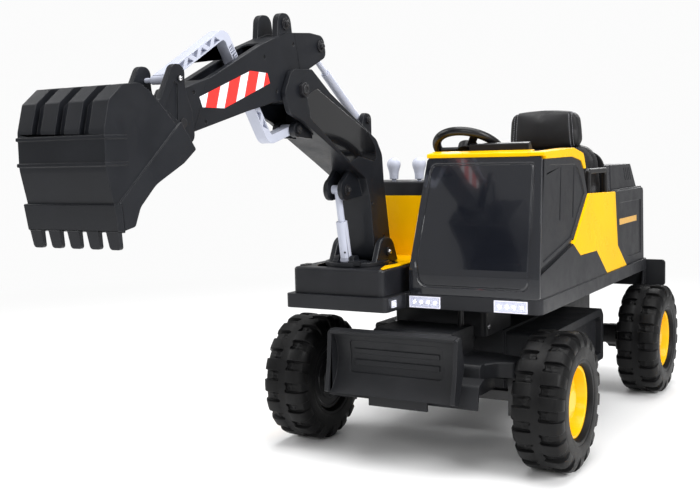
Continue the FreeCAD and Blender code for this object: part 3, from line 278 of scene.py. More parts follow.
MATERIALS = {
    "undercarriage_plastic": moulded("undercarriage", linear(24, 25, 28), 0.5, grain=0.7, edge_amount=0.45),
    "gearcase_plastic": moulded("gearcase", linear(16, 16, 17), 0.55, grain=0.8, edge_amount=0.3),
    "axle_steel": moulded("axle_paint", linear(22, 22, 24), 0.34, grain=0.15, edge_amount=0.9, coat=0.2),
    "house_plastic": moulded("house", linear(28, 29, 33), 0.38, grain=0.5, edge_amount=0.5, coat=0.12),
    # windscreen: its pale edge tone is partly rubbed wear and partly a painted highlight along the edges
    "windscreen_gloss": gloss("windscreen", linear(22, 24, 30), 0.10, edge_amount=0.3, edge_tone=linear(120, 122, 130),
                              coat=1.0),
    "yellow_plastic": gloss("yellow", linear(248, 189, 0), 0.3, edge_tone=linear(255, 218, 60), coat=0.1,
                            shine=0.08),
    "lamp_clear": clear_lens("lens"),
    "control_black": moulded("control_black", linear(15, 15, 17), 0.36, grain=0.45, edge_amount=0.35, coat=0.15),
    "seat_cover": leather("seat_vinyl", linear(17, 17, 20)),
    "battery_case": moulded("battery", linear(16, 16, 18), 0.5),
    "screw_steel": steel("screw_steel", (0.78, 0.78, 0.80), 0.2),
    "arm_plastic": moulded("arm", linear(21, 23, 28), 0.42, grain=0.65, edge_amount=0.55, coat=0.08),
    # inlay: its pale edge tone is partly rubbed wear and partly a painted highlight along its edges
    "inlay_gloss": gloss("inlay", linear(10, 11, 14), 0.10, edge_amount=0.6, edge_tone=linear(120, 122, 128), coat=0.9),
    "pin_steel": moulded("pin_cover", linear(30, 30, 33), 0.34, grain=0.3, edge_amount=0.7, coat=0.15),
    "light_grey_plastic": moulded("light_grey", linear(187, 191, 206), 0.40, grain=0.35, edge_amount=0.3,
                                  mottle=0.04, edge_tone=linear(230, 232, 240)),
    "tyre_rubber": rubber("tyre", linear(6, 6, 7)),
    "rim_yellow": gloss("rim", linear(250, 192, 6), 0.30, edge_tone=linear(255, 222, 90), coat=0.15, shine=0.25),
}
SLOT_OF = {s["node"]: s["material_slot"] for s in frame["record"]["subparts"]}


# ---------------------------------------------------------------- mesh helpers


def new_piece(name, mesh, slot, body, replaces=()):
    """Link a finished mesh as a piece that rides on a body and takes a slot's finish."""
    piece = bpy.data.objects.new(name, mesh)
    bpy.context.scene.collection.objects.link(piece)
    if not mesh.materials:
        mesh.materials.append(MATERIALS[slot])
    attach(piece, body)
    if replaces:
        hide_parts(*replaces)
    return piece


def to_mesh(name, bm, smooth_angle=35):
    """A bmesh as a mesh, smooth except across edges sharper than an angle."""
    bmesh.ops.recalc_face_normals(bm, faces=bm.faces)
    limit = math.radians(smooth_angle)
    for face in bm.faces:
        face.smooth = True
    for edge in bm.edges:
        edge.smooth = edge.calc_face_angle(0.0) < limit
    mesh = bpy.data.meshes.new(name)
    bm.to_mesh(mesh)
    bm.free()
    return mesh


def baked(obj):
    """An object's mesh with its modifiers applied."""
    graph = bpy.context.evaluated_depsgraph_get()
    return bpy.data.meshes.new_from_object(obj.evaluated_get(graph))


def surface_tree(mesh):
    """A search tree over a mesh's faces."""
    return BVHTree.FromPolygons([v.co for v in mesh.vertices], [p.vertices for p in mesh.polygons])


def far_off(vertices, tree, limit):
    """The vertices further than a limit from a surface."""
    return [v for v in vertices if tree.find_nearest(v.co)[3] > limit]


def rings_to_bmesh(rings, closed_along=False):
    """A skin over rings of points; every ring is closed, and the last may join the first."""
    bm = bmesh.new()
    rows = [[bm.verts.new(p) for p in ring] for ring in rings]
    count = len(rows[0])
    pairs = list(zip(rows, rows[1:] + ([rows[0]] if closed_along else [])))
    if not closed_along:
        pairs = pairs[:len(rows) - 1]
    for a, b in pairs:
        for i in range(count):
            j = (i + 1) % count
            bm.faces.new((a[i], a[j], b[j], b[i]))
    if not closed_along:
        bm.faces.new(rows[0][::-1])
        bm.faces.new(rows[-1])
    return bm


def aim(at, axis):
    """A function that carries points drawn along +X to an axis through a point."""
    turn = Vector(axis).to_track_quat("X", "Z").to_matrix()
    origin = Vector(at)
    return lambda p: turn @ p + origin


def sharp_edges(bm, limit):
    """The edges where two faces turn by more than an angle."""
    return [e for e in bm.edges if e.calc_face_angle(0.0) > limit]


def round_edges(bm, edges, width, segments=2, clamp=True):
    """Round off some edges."""
    bmesh.ops.bevel(bm, geom=edges, offset=width, segments=segments, affect="EDGES", profile=0.5,
                    clamp_overlap=clamp)


# ---------------------------------------------------------------- CAD nodes


SMALL = {"boom_pins", "stick_pins", "bucket_pins", "body_screws", "lamp_lenses", "horn_button", "tie_rod",
         "direction_switch", "bucket_link", "steering_column", "steering_shaft", "boom_inlays"}
ROUNDED = {"armrests": 4.0}
BODY_OF = {node: body for body, nodes in frame["record"]["behaviour"]["bodies"].items() for node in nodes}
LEVERS = ("lever_outer", "lever_inner")
REMADE = {"seat_cushion", "backrest", "headrest", "lamp_lenses", "body_screws", *LEVERS}
SHARP = math.radians(40)
SLACK = 0.05 * MM


def rounded_skin(node, obj, width, tree):
    """A copy of a node with its sharp edges rounded and every point the rounding threw outwards taken out."""
    mesh = baked(obj)
    bm = bmesh.new()
    bm.from_mesh(mesh)
    bpy.data.meshes.remove(mesh)
    round_edges(bm, sharp_edges(bm, SHARP), width, clamp=False)
    limit = width + SLACK
    stray = far_off(bm.verts, tree, limit)
    while stray:
        bmesh.ops.dissolve_verts(bm, verts=stray)
        left = far_off(bm.verts, tree, limit)
        stray = left if len(left) < len(stray) else []
    return to_mesh(node + "_rounded", bm)


def dress(node, obj):
    """Give a CAD node its material and real rounded edges."""
    obj.data.materials.clear()
    obj.data.materials.append(MATERIALS[SLOT_OF[node]])
    tree = surface_tree(obj.data)
    weld = obj.modifiers.new("weld", "WELD")
    weld.merge_threshold = 0.02 * MM
    flat = obj.modifiers.new("flat", "DECIMATE")
    flat.decimate_type = "DISSOLVE"
    flat.angle_limit = math.radians(0.5)
    bevel = obj.modifiers.new("bevel", "BEVEL")
    bevel.width = ROUNDED.get(node, 0.35 if node in SMALL else 1.0) * MM
    bevel.segments = 3 if node in ROUNDED else 2
    bevel.limit_method = "ANGLE"
    bevel.angle_limit = SHARP
    bevel.use_clamp_overlap = False
    bevel.miter_outer = "MITER_ARC"
    trial = baked(obj)
    piece = obj
    if far_off(trial.vertices, tree, bevel.width * 0.8 + SLACK):
        width = bevel.width
        obj.modifiers.remove(bevel)
        skin = rounded_skin(node, obj, width, tree)
        piece = new_piece(node + "_rounded", skin, SLOT_OF[node], BODY_OF[node], (node,))
    bpy.data.meshes.remove(trial)
    piece.modifiers.new("normals", "WEIGHTED_NORMAL").keep_sharp = True


for node_name, node_object in NODES.items():
    if node_name not in REMADE and not node_name.startswith("tyre_"):
        dress(node_name, node_object)


# ---------------------------------------------------------------- tyres


LUG_COUNT = 18
LUG_PITCH = 360 / LUG_COUNT
LUG_HALF = 5.4  # half a lug's width, in degrees round the axle
NOTCH_END = 8.0  # where the notch beside a lug ends, in degrees
MARK_FROM, MARK_TO = 7.2, 8.6  # the leg of the raised mark in a pocket, in degrees
MARK_R, POCKET_R = 129.2, 127.0
TREAD = [  # (x, radius) at a pocket, (x, radius) on a lug, share of the pocket's notch
    ((0, 132.6), (0, 132.6), 0), ((7, 132.8), (7, 132.8), 0), ((10.6, 132.8), (11, 133.4), 1),
    ((12.0, 127.4), (12.6, 134.2), 1), ((20.5, 127.0), (20.5, 134.6), 0.2),
    ((21.2, 129.2), (21.2, 134.6), 0.2), ((25.0, 129.2), (25.0, 134.6), 0.2),
    ((25.7, 127.0), (25.7, 134.6), 0.2), ((33, 126.4), (33, 134.4), 0),
    ((38, 125.6), (39, 133.2), 0), ((42.5, 123.4), (43.5, 129.6), 0), ((45.5, 118.5), (48.6, 121.5), 0),
    ((47.6, 112.5), (49.8, 113.2), 0), ((48.8, 108.4), (49.8, 109.0), 0), ((49.2, 105.4), (49.2, 105.4), 0),
    ((49.9, 104.0), (49.9, 104.0), 0), ((50.0, 97.0), (50.0, 97.0), 0), ((49.8, 90.0), (49.8, 90.0), 0),
    ((49.2, 84.0), (49.2, 84.0), 0), ((47.8, 82.0), (47.8, 82.0), 0), ((48.4, 79.6), (48.4, 79.6), 0),
    ((47.6, 76.0), (47.6, 76.0), 0), ((44.2, 72.8), (44.2, 72.8), 0), ((40.0, 71.2), (40.0, 71.2), 0),
    ((37.6, 70.3), (37.6, 70.3), 0)]
STEPS = [0, 1.6, 2.5, 4.3, 4.8, 5.2, 5.7, 7.5, 8.4, 10]  # degrees from a lug's middle to a pocket's


def tread_point(station, angle, mirror):
    """One point of the tyre's skin; angle in degrees from a lug's middle, in the row being drawn."""
    pocket, lug, notch = station
    away = abs((angle + LUG_PITCH / 2) % LUG_PITCH - LUG_PITCH / 2)
    if away < LUG_HALF:
        x, r = lug
    else:
        across, r = pocket
        x = across - 3.0 * notch if away < NOTCH_END else across
        on_bar = 21 < across < 25.1
        if on_bar and away > MARK_FROM or 20 < across < 32 and MARK_FROM < away < MARK_TO:
            r = MARK_R
        elif on_bar:
            r = POCKET_R
    return (-x if mirror else x) * MM, r * MM


def make_tyre(name, body, node):
    """A tyre as one closed skin: centre band, two staggered rows of lugs, marked pockets, sidewalls."""
    low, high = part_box(node)
    centre = (low + high) / 2
    angles = []
    for k in range(LUG_COUNT):
        start = LUG_PITCH * k
        angles += [start + s for s in STEPS] + [start + LUG_PITCH - s for s in reversed(STEPS[1:-1])]
    rings = []
    for angle in angles:
        ring = [tread_point(s, angle, False) for s in TREAD]
        ring += [tread_point(s, angle + LUG_PITCH / 2, True) for s in reversed(TREAD[1:])]
        a = math.radians(angle - 90)
        rings.append([centre + Vector((x, r * math.cos(a), r * math.sin(a))) for x, r in ring])
    mesh = to_mesh(name, rings_to_bmesh(rings, closed_along=True), 30)
    piece = new_piece(name, mesh, "tyre_rubber", body, (node,))
    bevel = piece.modifiers.new("bevel", "BEVEL")
    bevel.width = 0.7 * MM
    bevel.segments = 2
    bevel.angle_limit = math.radians(42)
    bevel.use_clamp_overlap = False
    piece.modifiers.new("normals", "WEIGHTED_NORMAL").keep_sharp = True


for end in ("front", "rear"):
    for side in ("left", "right"):
        make_tyre(f"tyre_skin_{end}_{side}", f"wheel_{end}_{side}", f"tyre_{end}_{side}")


# ---------------------------------------------------------------- seat


def padded(name, low, high, depth_axis, corner, top_taper, voxel, cap, shrink, pinned):
    """A stuffed pad: a rounded block a little under size, remeshed, then swollen as pressurised cloth."""
    size = high - low
    middle = (low + high) / 2
    bm = bmesh.new()
    bmesh.ops.create_cube(bm, size=1.0)
    for v in bm.verts:
        v.co = Vector([v.co[i] * (size[i] - shrink) for i in range(3)]) + middle
    upright = [e for e in bm.edges if abs((e.verts[0].co - e.verts[1].co)[depth_axis]) > 1e-4]
    round_edges(bm, upright, corner, 8)
    round_edges(bm, sharp_edges(bm, math.radians(50)), min(size[depth_axis], 30 * MM) * 0.3, 3)
    for v in bm.verts:
        rise = (v.co.z - low.z) / size.z
        v.co.x = middle.x + (v.co.x - middle.x) * (1 - top_taper * rise)
    mesh = to_mesh(name, bm)
    pad = bpy.data.objects.new(name + "_start", mesh)
    bpy.context.scene.collection.objects.link(pad)
    remesh = pad.modifiers.new("remesh", "REMESH")
    remesh.mode = "VOXEL"
    remesh.voxel_size = voxel
    start = baked(pad)
    bpy.data.objects.remove(pad)
    start.name = name
    swell(start, pinned, cap)
    smooth = bpy.data.objects.new(name + "_smooth", start)
    bpy.context.scene.collection.objects.link(smooth)
    smooth.modifiers.new("relax", "SMOOTH").iterations = 3
    smooth.modifiers.new("fine", "SUBSURF").levels = 1
    smooth.modifiers["fine"].render_levels = 1
    result = baked(smooth)
    bpy.data.objects.remove(smooth)
    result.name = name
    return result


def swell(mesh, pinned, cap):
    """Run pressurised cloth on a mesh for twenty frames and cap how far any point moves."""
    rest = [v.co.copy() for v in mesh.vertices]
    cloth_object = bpy.data.objects.new("swelling", mesh)
    bpy.context.scene.collection.objects.link(cloth_object)
    group = cloth_object.vertex_groups.new(name="held")
    group.add([i for i, co in enumerate(rest) if pinned(co)], 1.0, "REPLACE")
    cloth = cloth_object.modifiers.new("cloth", "CLOTH")
    cloth.settings.use_pressure = True
    cloth.settings.uniform_pressure_force = 4.0
    cloth.settings.effector_weights.gravity = 0.0
    cloth.settings.vertex_group_mass = "held"
    cloth.settings.tension_stiffness = 12
    cloth.settings.bending_stiffness = 1.5
    cloth.point_cache.frame_start = 1
    cloth.point_cache.frame_end = 20
    for frame_number in range(1, 21):
        bpy.context.scene.frame_set(frame_number)
    moved = baked(cloth_object)
    for vertex, before, after in zip(mesh.vertices, rest, moved.vertices):
        step = after.co - before
        if step.length > cap:
            step = step.normalized() * cap
        vertex.co = before + step
    bpy.data.objects.remove(cloth_object)
    bpy.data.meshes.remove(moved)
    bpy.context.scene.frame_set(1)


def sew(mesh, distance, depth, width):
    """Pull a seam into a padded mesh; distance(point) is how far a point is from the seam's plane."""
    moves = []
    for v in mesh.vertices:
        pull = depth * math.exp(-(distance(v.co) / width) ** 2)
        moves.append(v.co - v.normal * pull)
    for v, co in zip(mesh.vertices, moves):
        v.co = co
    mesh.update()


def thread_run(bm, points, normals, pitch=4.2 * MM, length=2.9 * MM, radius=0.42 * MM):
    """Stitches along a line of surface points: short threads that dive in at both ends."""
    travelled = 0.0
    due = 0.0
    for (a, b), normal in zip(zip(points, points[1:]), normals):
        step = (b - a).length
        while due <= travelled + step:
            at = a.lerp(b, (due - travelled) / step)
            ahead = (b - a).normalized()
            across = ahead.cross(normal).normalized()
            rings = []
            for t in (-0.5, -0.3, 0, 0.3, 0.5):
                lift = radius * (1.3 - 9 * t * t)
                centre = at + ahead * (t * length) + normal * lift
                r = radius * (0.75 if abs(t) == 0.5 else 1)
                rings.append([centre + across * (r * math.cos(u)) + normal * (r * math.sin(u))
                              for u in (math.pi * k / 3 for k in range(6))])
            rows = [[bm.verts.new(p) for p in ring] for ring in rings]
            for low, high in zip(rows, rows[1:]):
                for i in range(6):
                    j = (i + 1) % 6
                    bm.faces.new((low[i], low[j], high[j], high[i]))
            bm.faces.new(rows[0][::-1])
            bm.faces.new(rows[-1])
            due += pitch
        travelled += step


def over_surface(mesh, starts, direction):
    """Points and normals where rays from a line of starts first meet a mesh."""
    tree = surface_tree(mesh)
    points, normals = [], []
    for start in starts:
        hit, normal = tree.ray_cast(start, direction)[:2]
        if hit is not None:
            points.append(hit)
            normals.append(normal)
    return points, normals


def line(a, b, count):
    return [Vector(a).lerp(Vector(b), i / (count - 1)) for i in range(count)]


THREAD = print_film("thread", linear(150, 152, 160))
DOWN, BACKWARD, FORWARD = Vector((0, 0, -1)), Vector((0, 1, 0)), Vector((0, -1, 0))
CLEAR = 0.05  # how far outside a pad the rays that place its stitches start


def add_stitches(name, mesh, rows):
    """Stitches where rays meet a pad; each row is the rays' starts and their direction."""
    bm = bmesh.new()
    for starts, direction in rows:
        thread_run(bm, *over_surface(mesh, starts, direction))
    threads = to_mesh(name, bm)
    threads.materials.append(THREAD)
    new_piece(name, threads, "seat_cover", "vehicle")


def make_cushion():
    """The seat pad: two long seams with stitches beside them and two cross channels."""
    low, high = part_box("seat_cushion")
    mesh = padded("seat_pad", low, high, 2, 26 * MM, 0.0, 5 * MM, 6 * MM, 5 * MM,
                  lambda p: p.z < low.z + 5 * MM)
    middle_x = (low.x + high.x) / 2
    for x in (low.x + 52 * MM, high.x - 52 * MM):
        sew(mesh, lambda p: p.x - x if p.z > low.z + 12 * MM else 1, 3.5 * MM, 3.2 * MM)
    for y in (low.y + 55 * MM, low.y + 100 * MM):
        sew(mesh, lambda p: p.y - y if abs(p.x - middle_x) < 82 * MM and p.z > low.z + 12 * MM else 1,
            2.6 * MM, 3.2 * MM)
    new_piece("seat_pad", mesh, "seat_cover", "vehicle", ("seat_cushion",))
    above = high.z + CLEAR
    add_stitches("seat_stitches", mesh,
                 [(line((x, low.y + 14 * MM, above), (x, high.y - 14 * MM, above), 40), DOWN)
                  for x in (low.x + 48 * MM, high.x - 48 * MM)])


def make_backrest():
    """The back pad, sewn like the seat pad."""
    low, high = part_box("backrest")
    high.z += 4 * MM
    mesh = padded("back_pad", low, high, 1, 44 * MM, 0.06, 5 * MM, 6 * MM, 5 * MM,
                  lambda p: p.y > high.y - 5 * MM)
    for x in (low.x + 55 * MM, high.x - 55 * MM):
        sew(mesh, lambda p: p.x - x if p.y < high.y - 12 * MM else 1, 3.5 * MM, 3.2 * MM)
    middle_x = sum(c.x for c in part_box("seat_cushion")) / 2
    middle_z = (low.z + high.z) / 2
    for z in (middle_z - 25 * MM, middle_z + 25 * MM):
        sew(mesh, lambda p: p.z - z if abs(p.x - middle_x) < 78 * MM and p.y < high.y - 12 * MM else 1,
            2.6 * MM, 3.2 * MM)
    new_piece("back_pad", mesh, "seat_cover", "vehicle", ("backrest",))
    front = low.y - CLEAR
    add_stitches("back_stitches", mesh,
                 [(line((x, front, low.z + 10 * MM), (x, front, high.z - 10 * MM), 40), BACKWARD)
                  for x in (low.x + 51 * MM, high.x - 51 * MM)])


def make_headrest():
    """The head pad: two leaning seams with stitches on both sides of each, front, top and back."""
    low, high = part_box("headrest")
    low.z -= 8 * MM
    mesh = padded("head_pad", low, high, 1, 22 * MM, 0.08, 4.5 * MM, 5 * MM, 4 * MM,
                  lambda p: p.z < low.z + 4 * MM)
    seams = (low.x + 17 * MM, high.x - 17 * MM)
    for x in seams:
        sew(mesh, lambda p: p.x - x - lean_in(p, low, high, x), 2.6 * MM, 2.6 * MM)
    new_piece("head_pad", mesh, "seat_cover", "vehicle", ("headrest",))
    rows = []
    front, back, above = low.y - CLEAR, high.y + CLEAR, high.z + CLEAR
    for x in seams:
        for gap in (-3.4 * MM, 3.4 * MM):
            foot, top = Vector((x + gap, 0, low.z + 5 * MM)), Vector((x + gap, 0, high.z - 8 * MM))
            foot.x += lean_in(foot, low, high, x)
            top.x += lean_in(top, low, high, x)
            rows += [(line((foot.x, front, foot.z), (top.x, front, top.z), 30), BACKWARD),
                     (line((foot.x, back, foot.z), (top.x, back, top.z), 30), FORWARD),
                     (line((top.x, low.y + 10 * MM, above), (top.x, high.y - 10 * MM, above), 12), DOWN)]
    add_stitches("head_stitches", mesh, rows)


def lean_in(point, low, high, x):
    """How far a headrest seam leans towards the middle at a point's height."""
    rise = (point.z - low.z) / (high.z - low.z)
    return math.copysign(6 * MM * rise, (low.x + high.x) / 2 - x)


make_cushion()
make_backrest()
make_headrest()


# ---------------------------------------------------------------- places


AXLE_MIDDLE = (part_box("tyre_front_left")[0].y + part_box("tyre_rear_left")[1].y) / 2
ARM_X = sum(c.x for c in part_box("boom_shell")) / 2 / MM


def spot(x, y, z):
    """A point given in millimetres from the ground midway between the axles."""
    return Vector((x * MM, y * MM + AXLE_MIDDLE, z * MM))


def turned(bm, profile, segments, place, hexes=()):
    """Add a closed shape turned round the X axis; rings whose index is in hexes are drawn as hexagons."""
    rows = []
    for index, (along, radius) in enumerate(profile):
        row = []
        for i in range(segments):
            a = 2 * math.pi * i / segments
            grow = 1 / math.cos((a + math.pi / 6) % (math.pi / 3) - math.pi / 6) if index in hexes else 1
            point = Vector((along * MM, radius * MM * grow * math.cos(a), radius * MM * grow * math.sin(a)))
            row.append(bm.verts.new(place(point)))
        rows.append(row)
    for a, b in zip(rows, rows[1:]):
        for i in range(segments):
            j = (i + 1) % segments
            bm.faces.new((a[i], a[j], b[j], b[i]))
    bm.faces.new(rows[0][::-1])
    bm.faces.new(rows[-1])


# ---------------------------------------------------------------- control levers


PEAR = [  # (height below the knob's top, radius)
    (-48, 9.3), (-47.4, 9.8), (-40, 10.0), (-35, 10.4), (-30, 11.4), (-25, 13.0), (-21, 14.4), (-17, 15.2),
    (-13.5, 15.3), (-10, 14.6), (-7, 13.2), (-4.4, 11.2), (-2.3, 8.4), (-0.8, 5.0), (-0.1, 2.0), (0, 0.5)]
HUB_R, HUB_BORE, STEM_R = 7.0, 3.4, 5


def bored_ring(centre, profile, segments):
    """A closed ring turned round the X axis through a point; the profile is (x, radius) in millimetres."""
    rings = []
    for x, radius in profile:
        rings.append([centre + Vector((x, radius * math.cos(a), radius * math.sin(a))) * MM
                      for a in (2 * math.pi * i / segments for i in range(segments))])
    return rings_to_bmesh(rings, closed_along=True)


def make_lever(node):
    """A smooth pear-shaped knob on a stem and a bored hub."""
    low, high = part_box(node)
    pivot = (low + high) / 2
    pivot.z = low.z + HUB_R * MM
    hub = [(-7, HUB_BORE), (-7, 6.4), (-6.4, HUB_R), (6.4, HUB_R), (7, 6.4), (7, HUB_BORE)]
    bm = bored_ring(pivot, hub, 36)
    top = high.z / MM
    knob = [(pivot.z / MM + 4.5, STEM_R), (top - 48.4, STEM_R)] + [(top + z, r) for z, r in PEAR]
    turned(bm, knob, 40, aim((pivot.x, pivot.y, 0), (0, 0, 1)))
    new_piece(node + "_skin", to_mesh(node + "_skin", bm), SLOT_OF[node], BODY_OF[node], (node,))


for lever_name in LEVERS:
    make_lever(lever_name)


# ---------------------------------------------------------------- printed films


FILM_WHITE = print_film("film_white", linear(244, 244, 248))
FILM_RED = print_film("film_red", linear(250, 52, 46))
FILM_TAN = print_film("film_tan", linear(222, 172, 84))
FILM_THICK = 0.3 * MM


def thicken(bm, offset):
    """Turn a flat sheet into a thin closed film."""
    made = bmesh.ops.extrude_face_region(bm, geom=bm.faces[:])
    bmesh.ops.translate(bm, verts=[g for g in made["geom"] if isinstance(g, bmesh.types.BMVert)], vec=offset)


def make_band_film(side):
    """A long hexagonal film with slanted white and red bands, on one side of the stick."""
    corners = [(-931, 710), (-924, 694), (-867, 694), (-734, 741), (-741, 758), (-791, 759)]
    first_red, pitch, red_share, slant = -905.8, 49.4, 0.58, 0.35
    low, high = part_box("stick_shell")
    face_x = (high.x if side > 0 else low.x) / MM
    bm = bmesh.new()
    bm.faces.new([bm.verts.new(spot(face_x, y, z)) for y, z in corners])
    across = Vector((0, 1, -slant)).normalized()
    for k in range(4):
        for share in (0, red_share):
            at = spot(face_x, first_red + (k + share) * pitch, 725)
            bmesh.ops.bisect_plane(bm, geom=bm.verts[:] + bm.edges[:] + bm.faces[:], plane_co=at,
                                   plane_no=across)
    origin = spot(face_x, first_red, 725)
    for face in bm.faces:
        along = (face.calc_center_median() - origin).dot(across) / across.y / MM
        face.material_index = 1 if along > 0 and along % pitch < red_share * pitch else 0
    thicken(bm, Vector((side * FILM_THICK, 0, 0)))
    name = "band_film_left" if side > 0 else "band_film_right"
    mesh = to_mesh(name, bm)
    mesh.materials.append(FILM_WHITE)
    mesh.materials.append(FILM_RED)
    new_piece(name, mesh, "arm_plastic", "stick")


def make_flank_film(side):
    """A tan stripe on the recessed panel of one rear flank."""
    floor_x = side * (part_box("rear_body")[1].x / MM - 2.5)
    corners = [(171, 434), (330, 434), (330, 448), (171, 448)]
    bm = bmesh.new()
    bm.faces.new([bm.verts.new(spot(floor_x, y, z)) for y, z in corners])
    thicken(bm, Vector((side * FILM_THICK, 0, 0)))
    name = "flank_film_left" if side > 0 else "flank_film_right"
    mesh = to_mesh(name, bm)
    mesh.materials.append(FILM_TAN)
    new_piece(name, mesh, "house_plastic", "vehicle")


for hand in (1, -1):
    make_band_film(hand)
    make_flank_film(hand)


# ---------------------------------------------------------------- lamps


# The tray's glow is painted light: a faint emission that makes the pale tray shine though it is no lamp.
LAMP_TRAY = gloss("lamp_tray", linear(232, 232, 246), 0.3, edge_amount=0.2, glow=0.35)
DIODE = glow("diode", (0.93, 0.94, 1.0), 5.0)


def lamp_frame(centre, out):
    """A function that carries (across, up, out) points to a lamp's place."""
    out = Vector(out)
    up = Vector((0, 0, 1))
    across = up.cross(out)
    return lambda p: centre + across * p[0] + up * p[1] + out * p[2]


def add_tray(bm, place, half_w, half_h, depth, wall):
    """An open tray: outer walls, a rim and a sunken floor."""
    def loop(w, h, d):
        return [bm.verts.new(place((u * w, v * h, d))) for u, v in ((-1, -1), (1, -1), (1, 1), (-1, 1))]
    loops = [loop(half_w, half_h, 0.05 * MM), loop(half_w, half_h, depth),
             loop(half_w - wall, half_h - wall, depth),
             loop(half_w - wall * 1.3, half_h - wall * 1.3, 0.6 * MM)]
    for a, b in zip(loops, loops[1:]):
        for i in range(4):
            j = (i + 1) % 4
            bm.faces.new((a[i], a[j], b[j], b[i]))
    bm.faces.new(loops[0][::-1])
    bm.faces.new(loops[-1])


def add_cover(bm, place, half_w, half_h, depth):
    """A clear cover, fluted on its outer face."""
    columns = 40
    rows = []
    for v in (-half_h, half_h):
        row = []
        for i in range(columns + 1):
            flute = depth + 0.7 * MM + 0.18 * MM * math.cos(i * math.pi)
            row.append(bm.verts.new(place((-half_w + 2 * half_w * i / columns, v, flute))))
        rows.append(row)
    back = [[bm.verts.new(place((u, v, depth))) for u in (-half_w, half_w)] for v in (-half_h, half_h)]
    for i in range(columns):
        bm.faces.new((rows[0][i], rows[0][i + 1], rows[1][i + 1], rows[1][i]))
    bm.faces.new((back[0][0], back[1][0], back[1][1], back[0][1]))
    bm.faces.new((back[0][0], back[0][1], *rows[0][::-1]))
    bm.faces.new((back[1][1], back[1][0], *rows[1]))
    bm.faces.new((back[1][0], back[0][0], rows[0][0], rows[1][0]))
    bm.faces.new((back[0][1], back[1][1], rows[1][-1], rows[0][-1]))


def make_lamps():
    """Two headlamps with four diodes each on the front skirt, and a small lamp beside the arm's block."""
    low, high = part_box("lamp_lenses")
    middle_z = (low.z + high.z) / 2 / MM
    lamps = [(spot(x, -404, middle_z), (0, -1, 0), 33.5, 11.5, 4) for x in (18.5, 199.5)]
    lamps.append((spot(-25, -458, 319), (1, 0, 0), 8.0, 7.0, 1))
    trays, diodes, covers = bmesh.new(), bmesh.new(), bmesh.new()
    for centre, out, half_w, half_h, count in lamps:
        place = lamp_frame(centre, out)
        add_tray(trays, place, half_w * MM, half_h * MM, 3.0 * MM, 1.5 * MM)
        for i in range(count):
            u = (i - (count - 1) / 2) * 15.0 * MM
            seat = lambda p, u=u: place((u + p.y, p.z, 0.5 * MM + p.x))
            turned(trays, [(0, 5.6), (1.6, 5.9), (1.7, 5.4), (0.5, 3.2), (0.4, 1)], 20, seat)
            turned(diodes, [(0.3, 2.5), (1.2, 2.4), (1.7, 1.9), (2.0, 1.0), (2.1, 0.3)], 16, seat)
        add_cover(covers, place, (half_w - 1.7) * MM, (half_h - 1.7) * MM, 2.1 * MM)
    for name, bm, material in (("lamp_trays", trays, LAMP_TRAY), ("lamp_diodes", diodes, DIODE),
                               ("lamp_covers", covers, MATERIALS["lamp_clear"])):
        mesh = to_mesh(name, bm, 40)
        mesh.materials.append(material)
        new_piece(name, mesh, "lamp_clear", "vehicle", ("lamp_lenses",) if name == "lamp_covers" else ())


make_lamps()


# ---------------------------------------------------------------- bolts and screws


BOLT_BLACK = moulded("bolt_black", linear(40, 40, 42), 0.32, grain=0.2, edge_amount=0.8, coat=0.2)
SOCKET_SCREW = [(-0.4, 1.0), (0, 1.0), (0.3, 1.0), (0.42, 0.9), (0.42, 0.56), (0.04, 0.52), (0.04, 0.1)]
PAN_SCREW = [(-0.2, 1.0), (0.25, 1.0), (0.6, 0.78), (0.8, 0.42), (0.8, 0.36), (0.1, 0.3), (0.1, 0.08)]
DOME_CAP = [(-0.3, 1.0), (0.2, 1.0), (0.45, 0.9), (0.7, 0.68), (0.85, 0.4), (0.9, 0.1)]
SLEEVE = [(-0.2, 1.0), (0.22, 1.0), (0.3, 0.92), (0.3, 0.66), (0.02, 0.62), (0.02, 0.1)]


def add_head(bm, at, axis, radius, shape):
    """One screw head or cap, drawn for a radius of 1 and scaled; sockets are hexagonal."""
    hexes = (4, 5, 6) if shape in (SOCKET_SCREW, PAN_SCREW) else ()
    turned(bm, [(along * radius, share * radius) for along, share in shape], 36, aim(at, axis), hexes)


def make_heads(name, body, slot, heads, material, replaces=()):
    """A group of screw heads on one body; each is (point, axis, radius, shape)."""
    bm = bmesh.new()
    for head in heads:
        add_head(bm, *head)
    mesh = to_mesh(name, bm, 30)
    mesh.materials.append(material)
    new_piece(name, mesh, slot, body, replaces)


def across_arm(y, z, half, radius, shape):
    """The same head on both sides of the arm."""
    return [(spot(ARM_X + s * half, y, z), (s, 0, 0), radius, shape) for s in (1, -1)]


make_heads("body_screw_heads", "vehicle", "screw_steel",
           [(spot(x, -436, 240), (0, -1, 0), 4.5, PAN_SCREW) for x in (-30, 30)]
           + [(spot(s * 105, -285, 255), (s, 0, 0), 5.5, SOCKET_SCREW) for s in (1, -1)],
           MATERIALS["screw_steel"], ("body_screws",))
make_heads("stick_bolts", "stick", "pin_steel",
           across_arm(-564, 818, 35, 4.4, SOCKET_SCREW) + across_arm(-680, 848, 34, 4.4, SOCKET_SCREW),
           BOLT_BLACK)
WELLS = [(-944, 717), (-916, 671), (-748, 785), (-655, 814), (-713, 728)]
make_heads("stick_screws", "stick", "pin_steel",
           [head for y, z in WELLS for head in across_arm(y, z, 25.8, 3.0, SLEEVE)],
           MATERIALS["gearcase_plastic"])
make_heads("boom_bolts", "boom", "pin_steel",
           across_arm(-465, 545, 28, 4.4, SOCKET_SCREW) + across_arm(-375, 684, 26, 3.6, SOCKET_SCREW)
           + across_arm(-641, 662, 28, 3.6, SOCKET_SCREW) + across_arm(-646, 733, 46, 8.6, SLEEVE),
           BOLT_BLACK)
